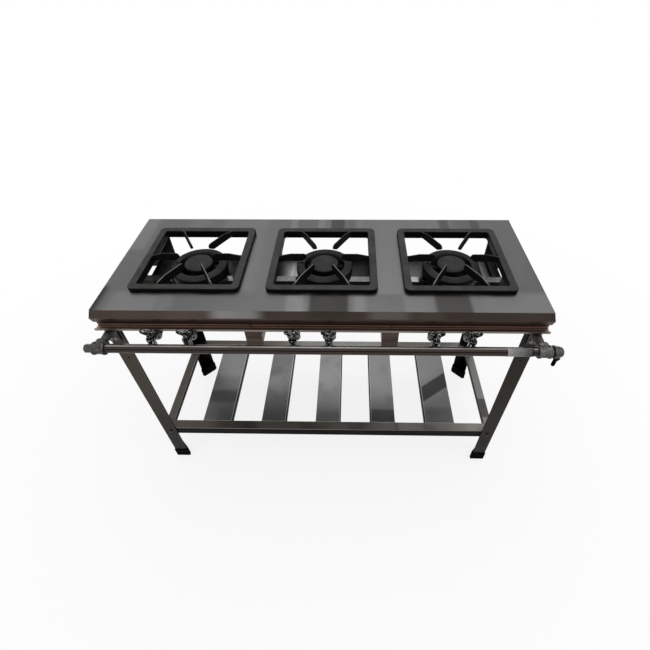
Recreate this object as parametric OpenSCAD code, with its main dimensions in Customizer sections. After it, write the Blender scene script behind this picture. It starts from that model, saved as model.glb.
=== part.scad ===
// Three-burner gas stand: a stainless top with cast-iron grates and double burners on four angle legs,
// a front gas manifold with six taps, and a slatted shelf. Millimetres, +Z up, front towards -Y.

/* [Top] */
// Height of the top's flat surface above the floor
top_height = 770; // [650:5:900]
// Border of the top around and outside the grates
edge_margin = 70; // [60:5:120]
// Distance between neighbouring grates
grate_gap = 70; // [50:5:140]
// Thickness of the top's sheet
top_sheet = 1.5; // [1:0.1:2.5]
// How far the lip leans out below the front and back edges of the top
lip_lean = 12; // [8:1:18]
// How far the lip leans out at the two ends of the top
end_lean = 4; // [3:1:18]
// Height of the leaning upper band of the lip
lip_band = 20; // [14:1:21]
// Height of the lower band that turns back in
lip_return = 20; // [9:1:21]
// How far the lower band turns back in along the front and the back
return_in = 8; // [5:1:12]

/* [Frame] */
// Thickness of the frame rails' sheet
rail_sheet = 2; // [1.5:0.5:3]
// How far the legs' outer faces stand in from the top edge
frame_inset = 6; // [4:1:12]
// Depth of the frame rails below the top's surface
rail_drop = 61; // [59:1:80]
// Width of the rails' flat upper flange
rail_seat = 20; // [14:1:26]
// How far the front and back rails' lower flange stands out
ledge_reach = 21; // [15:1:24]
// Height of the turned-up edge on that flange
ledge_edge = 7; // [4:1:9]
// How far that flange runs past the side rails at each end
ledge_over = 7; // [0:1:8]
// Width of the side rails' lower flange
side_flange = 46; // [36:1:52]

/* [Legs] */
// Width of each face of the leg angle
leg_face = 44; // [35:1:50]
// Thickness of the leg angle
leg_sheet = 3; // [2:0.5:5]
// Depth of the free hole in each leg below the top's surface
spare_hole_drop = 193; // [150:1:370]
// Height of the plastic foot cap
foot_height = 42; // [15:1:50]
// Thickness under the leg in the foot cap
foot_floor = 5; // [3:0.5:10]
// Wall of the foot cap around the leg
foot_wall = 2.5; // [1.5:0.5:4]

/* [Shelf] */
// Height of the shelf's surface above the floor
shelf_height = 191; // [120:1:320]
// Height of the shelf rails' outer face
shelf_face = 36; // [30:1:50]
// Width of the front and back shelf rails
shelf_rail_w = 31; // [24:1:40]
// Width of the side shelf rails
shelf_side_w = 27; // [20:1:36]
// Height of the shelf rails' inner face
shelf_inner_face = 22; // [18:1:28]
// Sheet thickness of the shelf
shelf_sheet = 1.5; // [1:0.1:2.5]
// Width of each slat
slat_w = 90; // [60:1:110]
// How much wider the slats at the two ends are
end_slat_extra = 16; // [0:1:30]
// Height of the slats' turned-down sides
slat_side = 16; // [8:1:17]

/* [Grates] */
// Outer size of each square grate
grate_size = 300; // [270:5:400]
// Width of the grate's rim
grate_rim = 21; // [16:1:26]
// Height of the rim above the top
grate_rise = 12; // [8:1:16]
// Depth of the rim's locating skirt below the top's surface
skirt_depth = 12; // [8:1:14]
// Gap between the skirt and the edge of the cut-out
skirt_gap = 2; // [1:0.5:4]
// Width of the rim that rests on the top around the cut-out
rim_bearing = 10; // [7:1:12]
// Radius of the grate's outer corners
grate_corner = 16; // [10:1:24]
// Height of the fingers' top above the top's surface
finger_rise = 20; // [16:1:28]
// Height of the fingers' lower edge below the top's surface
finger_drop = 3; // [0:0.5:6]
// Thickness of a finger at its lower edge
finger_base = 9; // [6:0.5:12]
// Thickness of a finger at its upper edge
finger_ridge = 3.5; // [2:0.5:5]
// Distance of the fingers' tips from the burner's axis
finger_tip_r = 50; // [46:1:60]

/* [Burners] */
// Outer radius of the burner ring
ring_r = 82; // [76:1:90]
// Inner radius of the burner ring
ring_bore_r = 57; // [54:1:60]
// Depth of the ring's crest below the top's surface
ring_depth = 15; // [12:1:20]
// Height of the ring at its crest
ring_height = 20; // [16:1:24]
// Radius of the centre cap
cap_r = 42; // [38:1:44]
// Height of the centre cap
cap_height = 13; // [10:1:16]
// Depth of the centre cap's crest below the top's surface
cap_depth = 9; // [7:1:12]
// Wall of the burner castings
cast_wall = 4; // [3:0.5:5]
// Outer radius of the mixing tubes
tube_r = 15; // [12:0.5:16]
// Outer radius of the mixing tubes' mouths
mouth_r = 18; // [17:0.5:18.5]
// Distance of the ring's mixing tube to the left of the burner's axis
ring_tube_x = 72; // [66:1:76]
// Distance of the cap's mixing tube to the right of the burner's axis
cap_tube_x = 22; // [16:1:26]
// Number of flame ports in a ring
ring_ports = 24; // [16:1:30]
// Number of flame ports in a cap
cap_ports = 16; // [10:1:20]
// Width of a flame port
port_w = 3; // [2:0.5:4]

/* [Gas line] */
// Outer radius of the manifold pipe
pipe_r = 12; // [10:0.5:14]
// Wall of the manifold pipe
pipe_wall = 2; // [1.5:0.5:3]
// Distance of the pipe's axis in front of the top edge
pipe_reach = 60; // [58:1:66]
// Depth of the pipe's axis below the top's surface
pipe_drop = 80; // [78:1:84]
// Distance of the end fittings' axis in from the top's side edges
tee_inset = 21; // [19:1:24]
// Length of a tee along the pipe
tee_length = 34; // [30:1:40]
// Outer radius of the side pipes
arm_r = 10.5; // [8:0.5:11]
// Radius of the tap bodies
tap_r = 11; // [9:0.5:11.5]
// Half the width of a tap's butterfly handle
wing_r = 20; // [16:0.5:20]
// Radius of the tap stems
stem_r = 4; // [3:0.25:5]
// Radius of the hose nozzle
nozzle_r = 5.2; // [4:0.1:6.5]
// Free length of the hose nozzle
nozzle_length = 26; // [20:1:40]

/* [Fits] */
// Radial running clearance of the tap stems
stem_clear = 0.05; // [0.02:0.01:0.1]
// Clearance of parts that slip into each other
slip = 0.2; // [0.1:0.05:0.3]
// Height of the loose gap under lift-off castings
seat_gap = 0.2; // [0.1:0.05:0.3]
// Radius of the small bolts
bolt_r = 3; // [2.5:0.25:3.5]

/* [Hidden] */
$fn = 48;
BURNERS = [-1, 0, 1];
burner_pitch = grate_size + grate_gap;
half_w = (3 * grate_size + 2 * grate_gap) / 2 + edge_margin;
half_d = grate_size / 2 + edge_margin;
leg_x = half_w - frame_inset;
leg_y = half_d - frame_inset;
lip_height = lip_band + lip_return;
panel_under = top_height - top_sheet;
rail_low = top_height - rail_drop;
rail_out = leg_y + rail_sheet;
ledge_front = leg_y + ledge_reach;
ledge_web = rail_drop - lip_height - 2;
leg_top = panel_under - rail_sheet - slip;
bolt_hole_r = bolt_r + slip;
bolt_head_h = 4;
bolt_head_r = bolt_r * 1.9;
nut_h = 5;
bolt_stub = 2;
leg_bolt_z = top_height - lip_height / 2;
cross_bolt_z = (top_height - lip_height + rail_low + ledge_edge) / 2;
shelf_bolt_z = shelf_height - shelf_face / 2;
spare_hole_z = top_height - spare_hole_drop;

cutout = grate_size - 2 * rim_bearing;
skirt_out = cutout - 2 * skirt_gap;
grate_in = grate_size - 2 * grate_rim;
collar_depth = skirt_depth + 2;
corner_in = max(grate_corner - grate_rim / 2, 1);
finger_nose = 9;
finger_slope = 34;
finger_heel = 20;

support_top = rail_low;
support_front = -2;
support_depth = 100;
support_lip = 38;
support_end_gap = 12;
support_half = leg_x - side_flange - support_end_gap;
cross_w = 45;
cross_h = 30;
cross_plate_drop = 6;
cross_top = support_top - support_lip;
cross_x = burner_pitch / 2;
cross_plate_low = cross_top - cross_h - cross_plate_drop;

ring_crest = top_height - ring_depth;
ring_low = ring_crest - ring_height;
trough_out = ring_r - 2;
trough_in = ring_bore_r + 3;
trough_floor = ring_low - 19;
trough_mid = (trough_out + trough_in) / 2;
cap_crest = top_height - cap_depth;
cap_low = cap_crest - cap_height;
cup_r = cap_r - 2;
cup_floor = trough_floor - 4;
spigot_h = 4;
spigot_t = 2;
spigot_in = trough_in + cast_wall + slip;
spigot_out = trough_out - cast_wall - slip;
cap_spigot_r = cup_r - cast_wall - slip;
ring_roof = 10;
slot_h = 4;
spoke_w = 10;
spoke_h = 12;
lug_r = 9;
lug_angle = 47;
lug_depth = 12;
recess_r = 9;
recess_depth = 5;
screw_boss_r = 7;
screw_head_r = 5.5;
screw_head_h = 3;
screw_l = ring_height - recess_depth + lug_depth - 2;
ring_screw = [-trough_mid, 0, 0];

pipe_y = -half_d - pipe_reach;
pipe_z = top_height - pipe_drop;
tee_x = half_w - tee_inset;
tee_r = pipe_r + 3.5;
collar_r = pipe_r + 5.5;
collar_l = 8;
thread_l = 11;
branch_l = tee_length / 2;
tee_branch = branch_l + 4;
arm_start = pipe_r + slip;
pipe_half = tee_x - branch_l + thread_l;
palm_w = 32;
palm_t = 3;
palm_drop = 42;
palm_low = pipe_z - palm_drop;
palm_high = pipe_z + arm_r + 3;
palm_bolt_drop = 30;
palm_bolt_z = pipe_z - palm_bolt_drop;
palm_bolt_dx = bolt_head_r + slip;
palm_bolt_x = leg_x - leg_sheet - palm_bolt_dx - bolt_head_r - slip;

tap_y = pipe_y + pipe_r + tap_r + 1;
tap_low = pipe_z - 14;
tap_high = pipe_z + 15;
port_r = 5;
outlet_r = 7;
outlet_l = 6;
jet_r = 4.5;
shutter_t = 1.5;
air_hole_r = 3.5;
mouth_y = -ledge_front + 4;
bell_l = 14;
wing_low = rail_low + ledge_edge + 1;
wing_h = 19;
wing_t = 5;
lobe_r = wing_h * 0.42;
hub_r = 7;
tube_end = support_front - 4;
riser_r = tube_r - 1;
// Each mixing tube's distance to the right of the burner's axis, and the floor that it rises to.
TUBES = [[-ring_tube_x, trough_floor], [cap_tube_x, cup_floor]];
outlet_back = tap_y + tap_r + outlet_l;

nipple_r = 9;
nipple_l = 6;
union_r = pipe_r + 6;
union_l = 7;
elbow_r = 15;
elbow_l = 17;
plug_head = 20;
elbow_x = tee_x + branch_l + nipple_l + union_l;
inlet_end = elbow_x + elbow_l;
plug_end = tee_x + branch_l + plug_head;
nozzle_x = elbow_x + elbow_l / 2;
nozzle_nut_h = 7;
nozzle_nut_r = nozzle_r + 4;
nozzle_top = pipe_z - elbow_r - 4;

slat_gap = (2 * (leg_x - leg_sheet - shelf_side_w) - 5 * slat_w - 2 * end_slat_extra) / 6;
slat_pitch = slat_w + slat_gap;
shelf_y_out = leg_y - leg_sheet;
shelf_y_in = shelf_y_out - shelf_rail_w;
shelf_x_out = leg_x - leg_sheet;

// The origin is the middle of the whole outline on the floor.
outline_left = max(plug_end, half_w + end_lean);
outline_right = max(nozzle_x + nozzle_nut_r, inlet_end, half_w + end_lean);
outline_front = collar_r - pipe_y;
outline_back = max(half_d + lip_lean, ledge_front);
shift_x = (outline_left - outline_right) / 2;
shift_y = (outline_front - outline_back) / 2;

STEEL = [0.50, 0.49, 0.47];
DARK_STEEL = [0.34, 0.30, 0.28];
GALVANISED = [0.47, 0.45, 0.43];
CHROME = [0.78, 0.78, 0.80];
IRON = [0.13, 0.13, 0.14];
PLASTIC = [0.05, 0.05, 0.05];
BRASS = [0.71, 0.58, 0.31];

// ---- helpers ----

module placed() translate([shift_x, shift_y, 0]) children();

// Extrudes a (Y, Z) outline along X, or an (X, Z) outline along Y, centred.
module along_x(l) rotate([90, 0, 90]) linear_extrude(l, center = true) children();
module along_y(l) rotate([90, 0, 0]) linear_extrude(l, center = true) children();

// A rod from a point along +X or +Y.
module rod_x(r, l) rotate([0, 90, 0]) cylinder(r = r, h = l);
module rod_y(r, l) rotate([-90, 0, 0]) cylinder(r = r, h = l);

module round_square(size, r) {
  square([size - 2 * r, size], center = true);
  square([size, size - 2 * r], center = true);
  for (x = [-1, 1], y = [-1, 1]) translate([x, y] * (size / 2 - r)) circle(r);
}

module four_corners() for (x = [-1, 1], y = [-1, 1]) corner(x, y) children();

// Turns what is drawn for the back right corner to any corner.
module corner(x, y) mirror([x < 0 ? 1 : 0, 0, 0]) mirror([0, y < 0 ? 1 : 0, 0]) children();

// A hexagon bolt with its nut: head at z = 0 upwards, shank down through a grip of the given thickness.
module bolt(grip) {
  cylinder(r = bolt_head_r, h = bolt_head_h, $fn = 6);
  translate([0, 0, -grip - nut_h - bolt_stub]) cylinder(r = bolt_r, h = grip + nut_h + bolt_stub + 1);
  translate([0, 0, -grip - nut_h]) cylinder(r = bolt_head_r, h = nut_h, $fn = 6);
}

// ---- top ----

// Half outline of the lip in section, shrunk inwards by t: it leans out, then turns back in.
function lip_side(half, t, lean, back) = [
  [half - t + lean * t / lip_band, top_height - t],
  [half + lean - 1.2 * t, top_height - lip_band],
  [half + lean - back - t, top_height - lip_height + t]
];
function mirrored(points) = [for (i = [len(points) - 1:-1:0]) [-points[i][0], points[i][1]]];
function lip_outline(half, t, lean, back) =
  concat(lip_side(half, t, lean, back), mirrored(lip_side(half, t, lean, back)));

module lip_block(t) intersection() {
  along_x(3 * half_w) polygon(lip_outline(half_d, t, lip_lean, return_in));
  along_y(3 * half_d) polygon(lip_outline(half_w, t, end_lean, 0));
}

module each_burner() for (i = BURNERS) translate([i * burner_pitch, 0, 0]) children();

module top_panel() color(STEEL) placed() {
  difference() {
    lip_block(0);
    lip_block(top_sheet);
    translate([0, 0, top_height - lip_height])
      cube([2 * (leg_x + rail_sheet + slip), 2 * (rail_out + slip), 4 * top_sheet], center = true);
    each_burner() translate([0, 0, panel_under - 1]) linear_extrude(top_sheet + 2)
      round_square(cutout, grate_corner - rim_bearing / 2);
  }
  each_burner() translate([0, 0, top_height - collar_depth]) linear_extrude(collar_depth - top_sheet / 2)
    difference() {
      round_square(cutout + 2 * top_sheet, grate_corner - rim_bearing / 2 + top_sheet);
      round_square(cutout, grate_corner - rim_bearing / 2);
    }
}

// ---- frame ----

module long_rail_outline() {
  translate([leg_y, rail_low]) square([rail_sheet, panel_under - rail_low]);
  translate([rail_out - rail_seat, panel_under - rail_sheet]) square([rail_seat, rail_sheet]);
}

// The long rails' lower flange with its turned-up edge, and the strip of web over it.
module ledge_outline() {
  translate([leg_y, rail_low]) square([rail_sheet, ledge_web]);
  translate([leg_y, rail_low]) square([ledge_reach, rail_sheet]);
  translate([ledge_front - rail_sheet, rail_low]) square([rail_sheet, ledge_edge]);
}

// The back rail; the front one is its mirror image. Bolt holes for the legs and the cross members.
module long_rail() difference() {
  union() {
    along_x(2 * (leg_x + rail_sheet)) long_rail_outline();
    along_x(2 * (leg_x + rail_sheet + ledge_over)) ledge_outline();
  }
  for (x = [-1, 1]) {
    translate([x * (leg_x - leg_face / 2), leg_y - 1, leg_bolt_z]) rod_y(bolt_hole_r, rail_sheet + 2);
    translate([x * cross_x, leg_y - 1, cross_bolt_z]) rod_y(bolt_hole_r, rail_sheet + 2);
  }
}

module side_rail() difference() {
  union() {
    translate([leg_x, -leg_y, rail_low]) cube([rail_sheet, 2 * leg_y, panel_under - rail_sheet - rail_low]);
    translate([leg_x - side_flange, -leg_y + leg_face + 1, rail_low])
      cube([side_flange + 1, 2 * (leg_y - leg_face - 1), rail_sheet]);
  }
  for (y = [-1, 1]) translate([leg_x - 1, y * (leg_y - leg_face / 2), leg_bolt_z])
    rod_x(bolt_hole_r, rail_sheet + 2);
}

module frame_front_rail() color(DARK_STEEL) placed() mirror([0, 1, 0]) long_rail();
module frame_back_rail() color(DARK_STEEL) placed() long_rail();
module frame_left_rail() color(DARK_STEEL) placed() mirror([1, 0, 0]) side_rail();
module frame_right_rail() color(DARK_STEEL) placed() side_rail();

// A channel open downwards under the burner support, hung from the long rails by its end plates.
module cross_member() difference() {
  union() {
    translate([0, 0, cross_top - cross_h]) difference() {
      translate([-cross_w / 2, -leg_y + 1, 0]) cube([cross_w, 2 * leg_y - 2, cross_h]);
      translate([-cross_w / 2 + rail_sheet, -leg_y, -rail_sheet])
        cube([cross_w - 2 * rail_sheet, 2 * leg_y, cross_h]);
    }
    for (y = [-leg_y, leg_y - rail_sheet]) translate([-cross_w / 2, y, cross_plate_low])
      cube([cross_w, rail_sheet, panel_under - rail_sheet - slip - cross_plate_low]);
  }
  for (y = [-leg_y, leg_y - rail_sheet]) translate([0, y - 1, cross_bolt_z])
    rod_y(bolt_hole_r, rail_sheet + 2);
}

module cross_member_left() color(DARK_STEEL) placed() translate([-cross_x, 0, 0]) cross_member();
module cross_member_right() color(DARK_STEEL) placed() translate([cross_x, 0, 0]) cross_member();

function lug_place(side) = [side * trough_mid * cos(lug_angle), trough_mid * sin(lug_angle), support_top];

module burner_support() color(STEEL) placed() difference() {
  union() {
    translate([-support_half, support_front, support_top - rail_sheet])
      cube([2 * support_half, support_depth, rail_sheet]);
    for (y = [support_front, support_front + support_depth - rail_sheet])
      translate([-leg_x + slip, y, support_top - support_lip])
        cube([2 * (leg_x - slip), rail_sheet, support_lip]);
  }
  each_burner() for (side = [-1, 1]) translate(lug_place(side) - [0, 0, rail_sheet + 1])
    cylinder(r = bolt_hole_r, h = rail_sheet + 2);
}

// ---- legs ----

module angle_outline(extra = 0) {
  translate([leg_x - leg_face - extra, leg_y - leg_sheet - extra])
    square([leg_face + 2 * extra, leg_sheet + 2 * extra]);
  translate([leg_x - leg_sheet - extra, leg_y - leg_face - extra])
    square([leg_sheet + 2 * extra, leg_face + 2 * extra]);
}

// A leg as it stands at the back right corner.
module leg(arm = false) difference() {
  translate([0, 0, foot_floor]) linear_extrude(leg_top - foot_floor) angle_outline();
  for (z = [leg_bolt_z, spare_hole_z, shelf_bolt_z])
    translate([leg_x - leg_face / 2, leg_y - leg_sheet - 1, z]) rod_y(bolt_hole_r, leg_sheet + 2);
  translate([leg_x - leg_sheet - 1, leg_y - leg_face / 2, leg_bolt_z]) rod_x(bolt_hole_r, leg_sheet + 2);
  if (arm) for (x = [-1, 1]) translate([palm_bolt_x + x * palm_bolt_dx, leg_y - leg_sheet - 1, palm_bolt_z])
    rod_y(bolt_hole_r, leg_sheet + 2);
}

module leg_front_left() color(DARK_STEEL) placed() corner(-1, -1) leg(arm = true);
module leg_front_right() color(DARK_STEEL) placed() corner(1, -1) leg(arm = true);
module leg_back_left() color(DARK_STEEL) placed() corner(-1, 1) leg();
module leg_back_right() color(DARK_STEEL) placed() corner(1, 1) leg();

module foot_cap() {
  edge = leg_face + 2 * foot_wall;
  tip = leg_sheet + 2 * foot_wall + 2;
  difference() {
    translate([leg_x + foot_wall, leg_y + foot_wall, 0]) linear_extrude(foot_height)
      polygon([[0, 0], [-edge, 0], [-edge, -tip], [-tip, -edge], [0, -edge]]);
    translate([0, 0, foot_floor]) linear_extrude(foot_height) angle_outline(slip / 2);
  }
}

module foot_caps() color(PLASTIC) placed() four_corners() foot_cap();

// ---- shelf ----

module channel_outline(w, outer, inner) {
  translate([-w, shelf_height - shelf_sheet]) square([w, shelf_sheet]);
  translate([-shelf_sheet, shelf_height - outer]) square([shelf_sheet, outer]);
  translate([-w, shelf_height - inner]) square([shelf_sheet, inner]);
}

module shelf_long_rail() difference() {
  along_x(2 * shelf_x_out) translate([shelf_y_out, 0])
    channel_outline(shelf_rail_w, shelf_face, shelf_inner_face);
  for (x = [-1, 1]) translate([x * (leg_x - leg_face / 2), shelf_y_out - shelf_sheet - 1, shelf_bolt_z])
    rod_y(bolt_hole_r, shelf_sheet + 2);
}

module shelf_side_rail() along_y(2 * shelf_y_in) translate([shelf_x_out, 0])
  channel_outline(shelf_side_w, shelf_face, shelf_inner_face);

module shelf_front_rail() color(DARK_STEEL) placed() mirror([0, 1, 0]) shelf_long_rail();
module shelf_back_rail() color(DARK_STEEL) placed() shelf_long_rail();
module shelf_left_rail() color(DARK_STEEL) placed() mirror([1, 0, 0]) shelf_side_rail();
module shelf_right_rail() color(DARK_STEEL) placed() shelf_side_rail();

function at_end(i) = i == 1 || i == 5 ? 1 : 0;
function slat_x(i) = (i - 3) * slat_pitch + at_end(i) * sign(i - 3) * end_slat_extra / 2;
function slat_wide(i) = slat_w + at_end(i) * end_slat_extra;

module slat(i) color(STEEL) placed() translate([slat_x(i), 0, 0]) along_y(2 * shelf_y_in) {
  translate([-slat_wide(i) / 2, shelf_height - shelf_sheet]) square([slat_wide(i), shelf_sheet]);
  for (x = [-1, 1]) translate([x * (slat_wide(i) - shelf_sheet) / 2, shelf_height - slat_side / 2])
    square([shelf_sheet, slat_side], center = true);
}

// ---- grates ----

// Side view of a finger from its tip to the rim at distance reach, and its cross-section.
module finger_side(reach) {
  top = top_height + finger_rise;
  low = top_height - finger_drop;
  polygon([
    [finger_tip_r, low + finger_nose], [finger_tip_r + 2, top - 4], [finger_tip_r + 7, top],
    [reach - finger_slope, top], [reach + 2, top_height + grate_rise + seat_gap],
    [reach + 2, top_height - skirt_depth / 2], [reach - finger_heel, low], [finger_tip_r + 14, low]
  ]);
}

module finger(reach) {
  top = top_height + finger_rise + 1;
  low = top_height - skirt_depth;
  intersection() {
    along_y(2 * finger_base) finger_side(reach);
    translate([reach / 2, 0, 0]) along_x(2 * reach)
      polygon([
        [-finger_base / 2, low], [finger_base / 2, low], [finger_ridge / 2, top], [-finger_ridge / 2, top]
      ]);
  }
}

module grate(i) color(IRON) placed() translate([i * burner_pitch, 0, 0]) {
  translate([0, 0, top_height + seat_gap]) linear_extrude(grate_rise) difference() {
    round_square(grate_size, grate_corner);
    round_square(grate_in, corner_in);
  }
  translate([0, 0, top_height - skirt_depth]) linear_extrude(skirt_depth + 1) difference() {
    round_square(skirt_out, grate_corner - rim_bearing);
    round_square(grate_in, corner_in);
  }
  for (a = [0:60:300]) rotate([0, 0, a]) finger(grate_in / 2 / (a % 180 == 0 ? 1 : sin(60)));
}

// ---- burners ----

module radial_slots(count, from, to, low, high) for (a = [0:count - 1])
  rotate([0, 0, (a + 0.5) * 360 / count]) translate([from, -port_w / 2, low])
    cube([to - from, port_w, high - low]);

// The castings under ring and cap: trough, cup, spokes, risers, mixing tubes and bolt lugs.
module burner_body(i) color(IRON) placed() translate([i * burner_pitch, 0, 0]) difference() {
  union() {
    rotate_extrude() translate([trough_in, trough_floor])
      square([trough_out - trough_in, ring_low - trough_floor]);
    translate([0, 0, cup_floor]) cylinder(r = cup_r, h = cap_low - seat_gap - cup_floor);
    for (a = [30, 150, 270]) rotate([0, 0, a]) translate([cup_r - 2, -spoke_w / 2, trough_floor])
      cube([trough_in - cup_r + 4, spoke_w, spoke_h]);
    for (tube = TUBES) {
      translate([tube[0], mouth_y + bell_l, pipe_z]) rod_y(tube_r, tube_end - mouth_y - bell_l);
      translate([tube[0], mouth_y, pipe_z]) rotate([-90, 0, 0])
        cylinder(r1 = mouth_r, r2 = tube_r, h = bell_l);
      translate([tube[0], tube_end - tube_r, pipe_z]) cylinder(r = riser_r, h = tube[1] + 1 - pipe_z);
    }
    for (side = [-1, 1]) translate(lug_place(side)) cylinder(r = lug_r, h = trough_floor + 1 - support_top);
  }
  difference() {
    rotate_extrude() translate([trough_in + cast_wall, trough_floor + cast_wall])
      square([trough_out - trough_in - 2 * cast_wall, ring_low - trough_floor]);
    translate(ring_screw + [0, 0, trough_floor]) cylinder(r = screw_boss_r, h = ring_low - trough_floor);
  }
  translate(ring_screw + [0, 0, ring_low - lug_depth]) cylinder(r = bolt_r, h = lug_depth + 1);
  translate([0, 0, cup_floor + cast_wall]) cylinder(r = cup_r - cast_wall, h = cap_low - cup_floor);
  for (tube = TUBES) {
    translate([tube[0], mouth_y - 1, pipe_z]) rod_y(tube_r - cast_wall, tube_end - mouth_y - cast_wall + 1);
    translate([tube[0], mouth_y - 0.01, pipe_z]) rotate([-90, 0, 0])
      cylinder(r1 = mouth_r - cast_wall + 1, r2 = tube_r - cast_wall, h = bell_l);
    translate([tube[0], tube_end - tube_r, pipe_z])
      cylinder(r = riser_r - cast_wall, h = tube[1] + cast_wall + 1 - pipe_z);
  }
  for (side = [-1, 1]) translate(lug_place(side) - [0, 0, 1]) cylinder(r = bolt_r, h = lug_depth + 1);
}

// The ring closes the trough; slots under its outer and inner edges let the gas out.
module burner_ring(i) color(IRON) placed() translate([i * burner_pitch, 0, 0]) difference() {
  union() {
    rotate_extrude() polygon([
      [ring_bore_r, ring_low], [ring_r, ring_low], [ring_r, ring_crest - 8], [ring_r - 3, ring_crest - 4],
      [ring_bore_r + 6, ring_crest], [ring_bore_r + 2, ring_crest - 1], [ring_bore_r, ring_crest - 4]
    ]);
    rotate_extrude() for (r = [spigot_in, spigot_out - spigot_t])
      translate([r, ring_low - spigot_h]) square([spigot_t, spigot_h + 1]);
  }
  difference() {
    rotate_extrude() translate([spigot_in + spigot_t, ring_low - 1])
      square([spigot_out - spigot_in - 2 * spigot_t, ring_height - ring_roof + 1]);
    translate(ring_screw + [0, 0, ring_low]) cylinder(r = screw_boss_r, h = ring_height);
  }
  translate(ring_screw + [0, 0, ring_low - spigot_h - 1])
    cylinder(r = screw_boss_r + slip, h = spigot_h + 1);
  translate(ring_screw + [0, 0, ring_low - 1]) cylinder(r = bolt_hole_r, h = ring_height);
  radial_slots(ring_ports, trough_mid, ring_r + 1, ring_low - spigot_h - 1, ring_low + slot_h);
  radial_slots(ring_ports / 2, ring_bore_r - 1, trough_mid, ring_low - spigot_h - 1, ring_low + slot_h);
  translate(ring_screw + [0, 0, ring_crest - recess_depth]) cylinder(r = recess_r, h = recess_depth + 1);
}

// The cap closes the cup the same way, with a spigot that drops inside the cup's wall.
module burner_cap(i) color(IRON) placed() translate([i * burner_pitch, 0, 0]) difference() {
  rotate_extrude() polygon([
    [0, cap_crest - 5], [cap_spigot_r - spigot_t - 1, cap_crest - 6],
    [cap_spigot_r - spigot_t - 1, cap_low - spigot_h], [cap_spigot_r, cap_low - spigot_h],
    [cap_spigot_r, cap_low], [cap_r, cap_low], [cap_r, cap_crest - 6], [cap_r - 5, cap_crest - 2],
    [cap_r - 14, cap_crest], [0, cap_crest]
  ]);
  radial_slots(cap_ports, cap_spigot_r - spigot_t - 2, cap_r + 1, cap_low - spigot_h - 1,
    cap_low + slot_h - 1);
}

// ---- gas line ----

function tap_x(n) = (floor((n - 1) / 2) - 1) * burner_pitch + (n % 2 == 1 ? -ring_tube_x : cap_tube_x);

module manifold_pipe() color(GALVANISED) placed() difference() {
  translate([-pipe_half, pipe_y, pipe_z]) rod_x(pipe_r, 2 * pipe_half);
  translate([-pipe_half - 1, pipe_y, pipe_z]) rod_x(pipe_r - pipe_wall, 2 * pipe_half + 2);
  for (n = [1:6]) translate([tap_x(n), pipe_y, pipe_z]) rod_y(port_r + slip / 2, pipe_r + 1);
}

// A tee at the right end: run along X, branch towards +Y, with a thick collar at each mouth.
module tee() translate([tee_x, pipe_y, pipe_z]) difference() {
  union() {
    translate([-branch_l, 0, 0]) rod_x(tee_r, tee_length);
    rod_y(tee_r, tee_branch);
    for (x = [-branch_l, branch_l - collar_l]) translate([x, 0, 0]) rod_x(collar_r, collar_l);
    translate([0, tee_branch - collar_l, 0]) rod_y(collar_r, collar_l);
  }
  translate([-branch_l - 1, 0, 0]) rod_x(pipe_r + slip, thread_l + 1);
  translate([-branch_l, 0, 0]) rod_x(nipple_r - 1, tee_length);
  translate([branch_l - thread_l, 0, 0]) rod_x(nipple_r + slip, thread_l + 1);
  rod_y(arm_r - pipe_wall, branch_l);
  translate([0, arm_start, 0]) rod_y(arm_r + slip, tee_branch - arm_start + 1);
}

module tee_left() color(GALVANISED) placed() mirror([1, 0, 0]) tee();
module tee_right() color(GALVANISED) placed() tee();

// A blind stub of pipe from the tee to the leg, closed by the palm plate that is bolted to the leg.
module side_pipe() difference() {
  union() {
    translate([tee_x, pipe_y + arm_start, pipe_z]) rod_y(arm_r, -leg_y - palm_t + 1 - pipe_y - arm_start);
    translate([tee_x - palm_w / 2, -leg_y - palm_t, palm_low]) cube([palm_w, palm_t, palm_high - palm_low]);
  }
  translate([tee_x, pipe_y, pipe_z]) rod_y(arm_r - pipe_wall, -leg_y - palm_t - pipe_wall - pipe_y);
  for (x = [-1, 1]) translate([palm_bolt_x + x * palm_bolt_dx, -leg_y - palm_t - 1, palm_bolt_z])
    rod_y(bolt_hole_r, palm_t + 2);
}

module side_pipe_left() color(GALVANISED) placed() mirror([1, 0, 0]) side_pipe();
module side_pipe_right() color(GALVANISED) placed() side_pipe();

module end_plug() color(GALVANISED) placed() translate([-tee_x - branch_l, pipe_y, pipe_z]) {
  translate([-plug_head, 0, 0]) rod_x(pipe_r, plug_head, $fn = 6);
  translate([-1, 0, 0]) rod_x(nipple_r, thread_l);
}

module inlet_nipple() color(GALVANISED) placed() translate([tee_x + branch_l, pipe_y, pipe_z]) difference() {
  union() {
    translate([1 - thread_l, 0, 0]) rod_x(nipple_r, thread_l + nipple_l);
    translate([nipple_l - 1, 0, 0]) rod_x(union_r, union_l + 1, $fn = 6);
  }
  translate([-thread_l, 0, 0]) rod_x(nipple_r - 3, thread_l + nipple_l + union_l + 1);
}

module inlet_elbow() color(GALVANISED) placed() translate([elbow_x, pipe_y, pipe_z]) difference() {
  union() {
    rod_x(elbow_r, elbow_l);
    translate([elbow_l / 2, 0, -elbow_r - 4]) cylinder(r = nozzle_r + 3, h = elbow_r + 4);
  }
  translate([-1, 0, 0]) rod_x(nipple_r - 3, elbow_l / 2 + 1);
  translate([elbow_l / 2, 0, -elbow_r - 5]) cylinder(r = nozzle_r - 2, h = elbow_r + 5);
}

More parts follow.
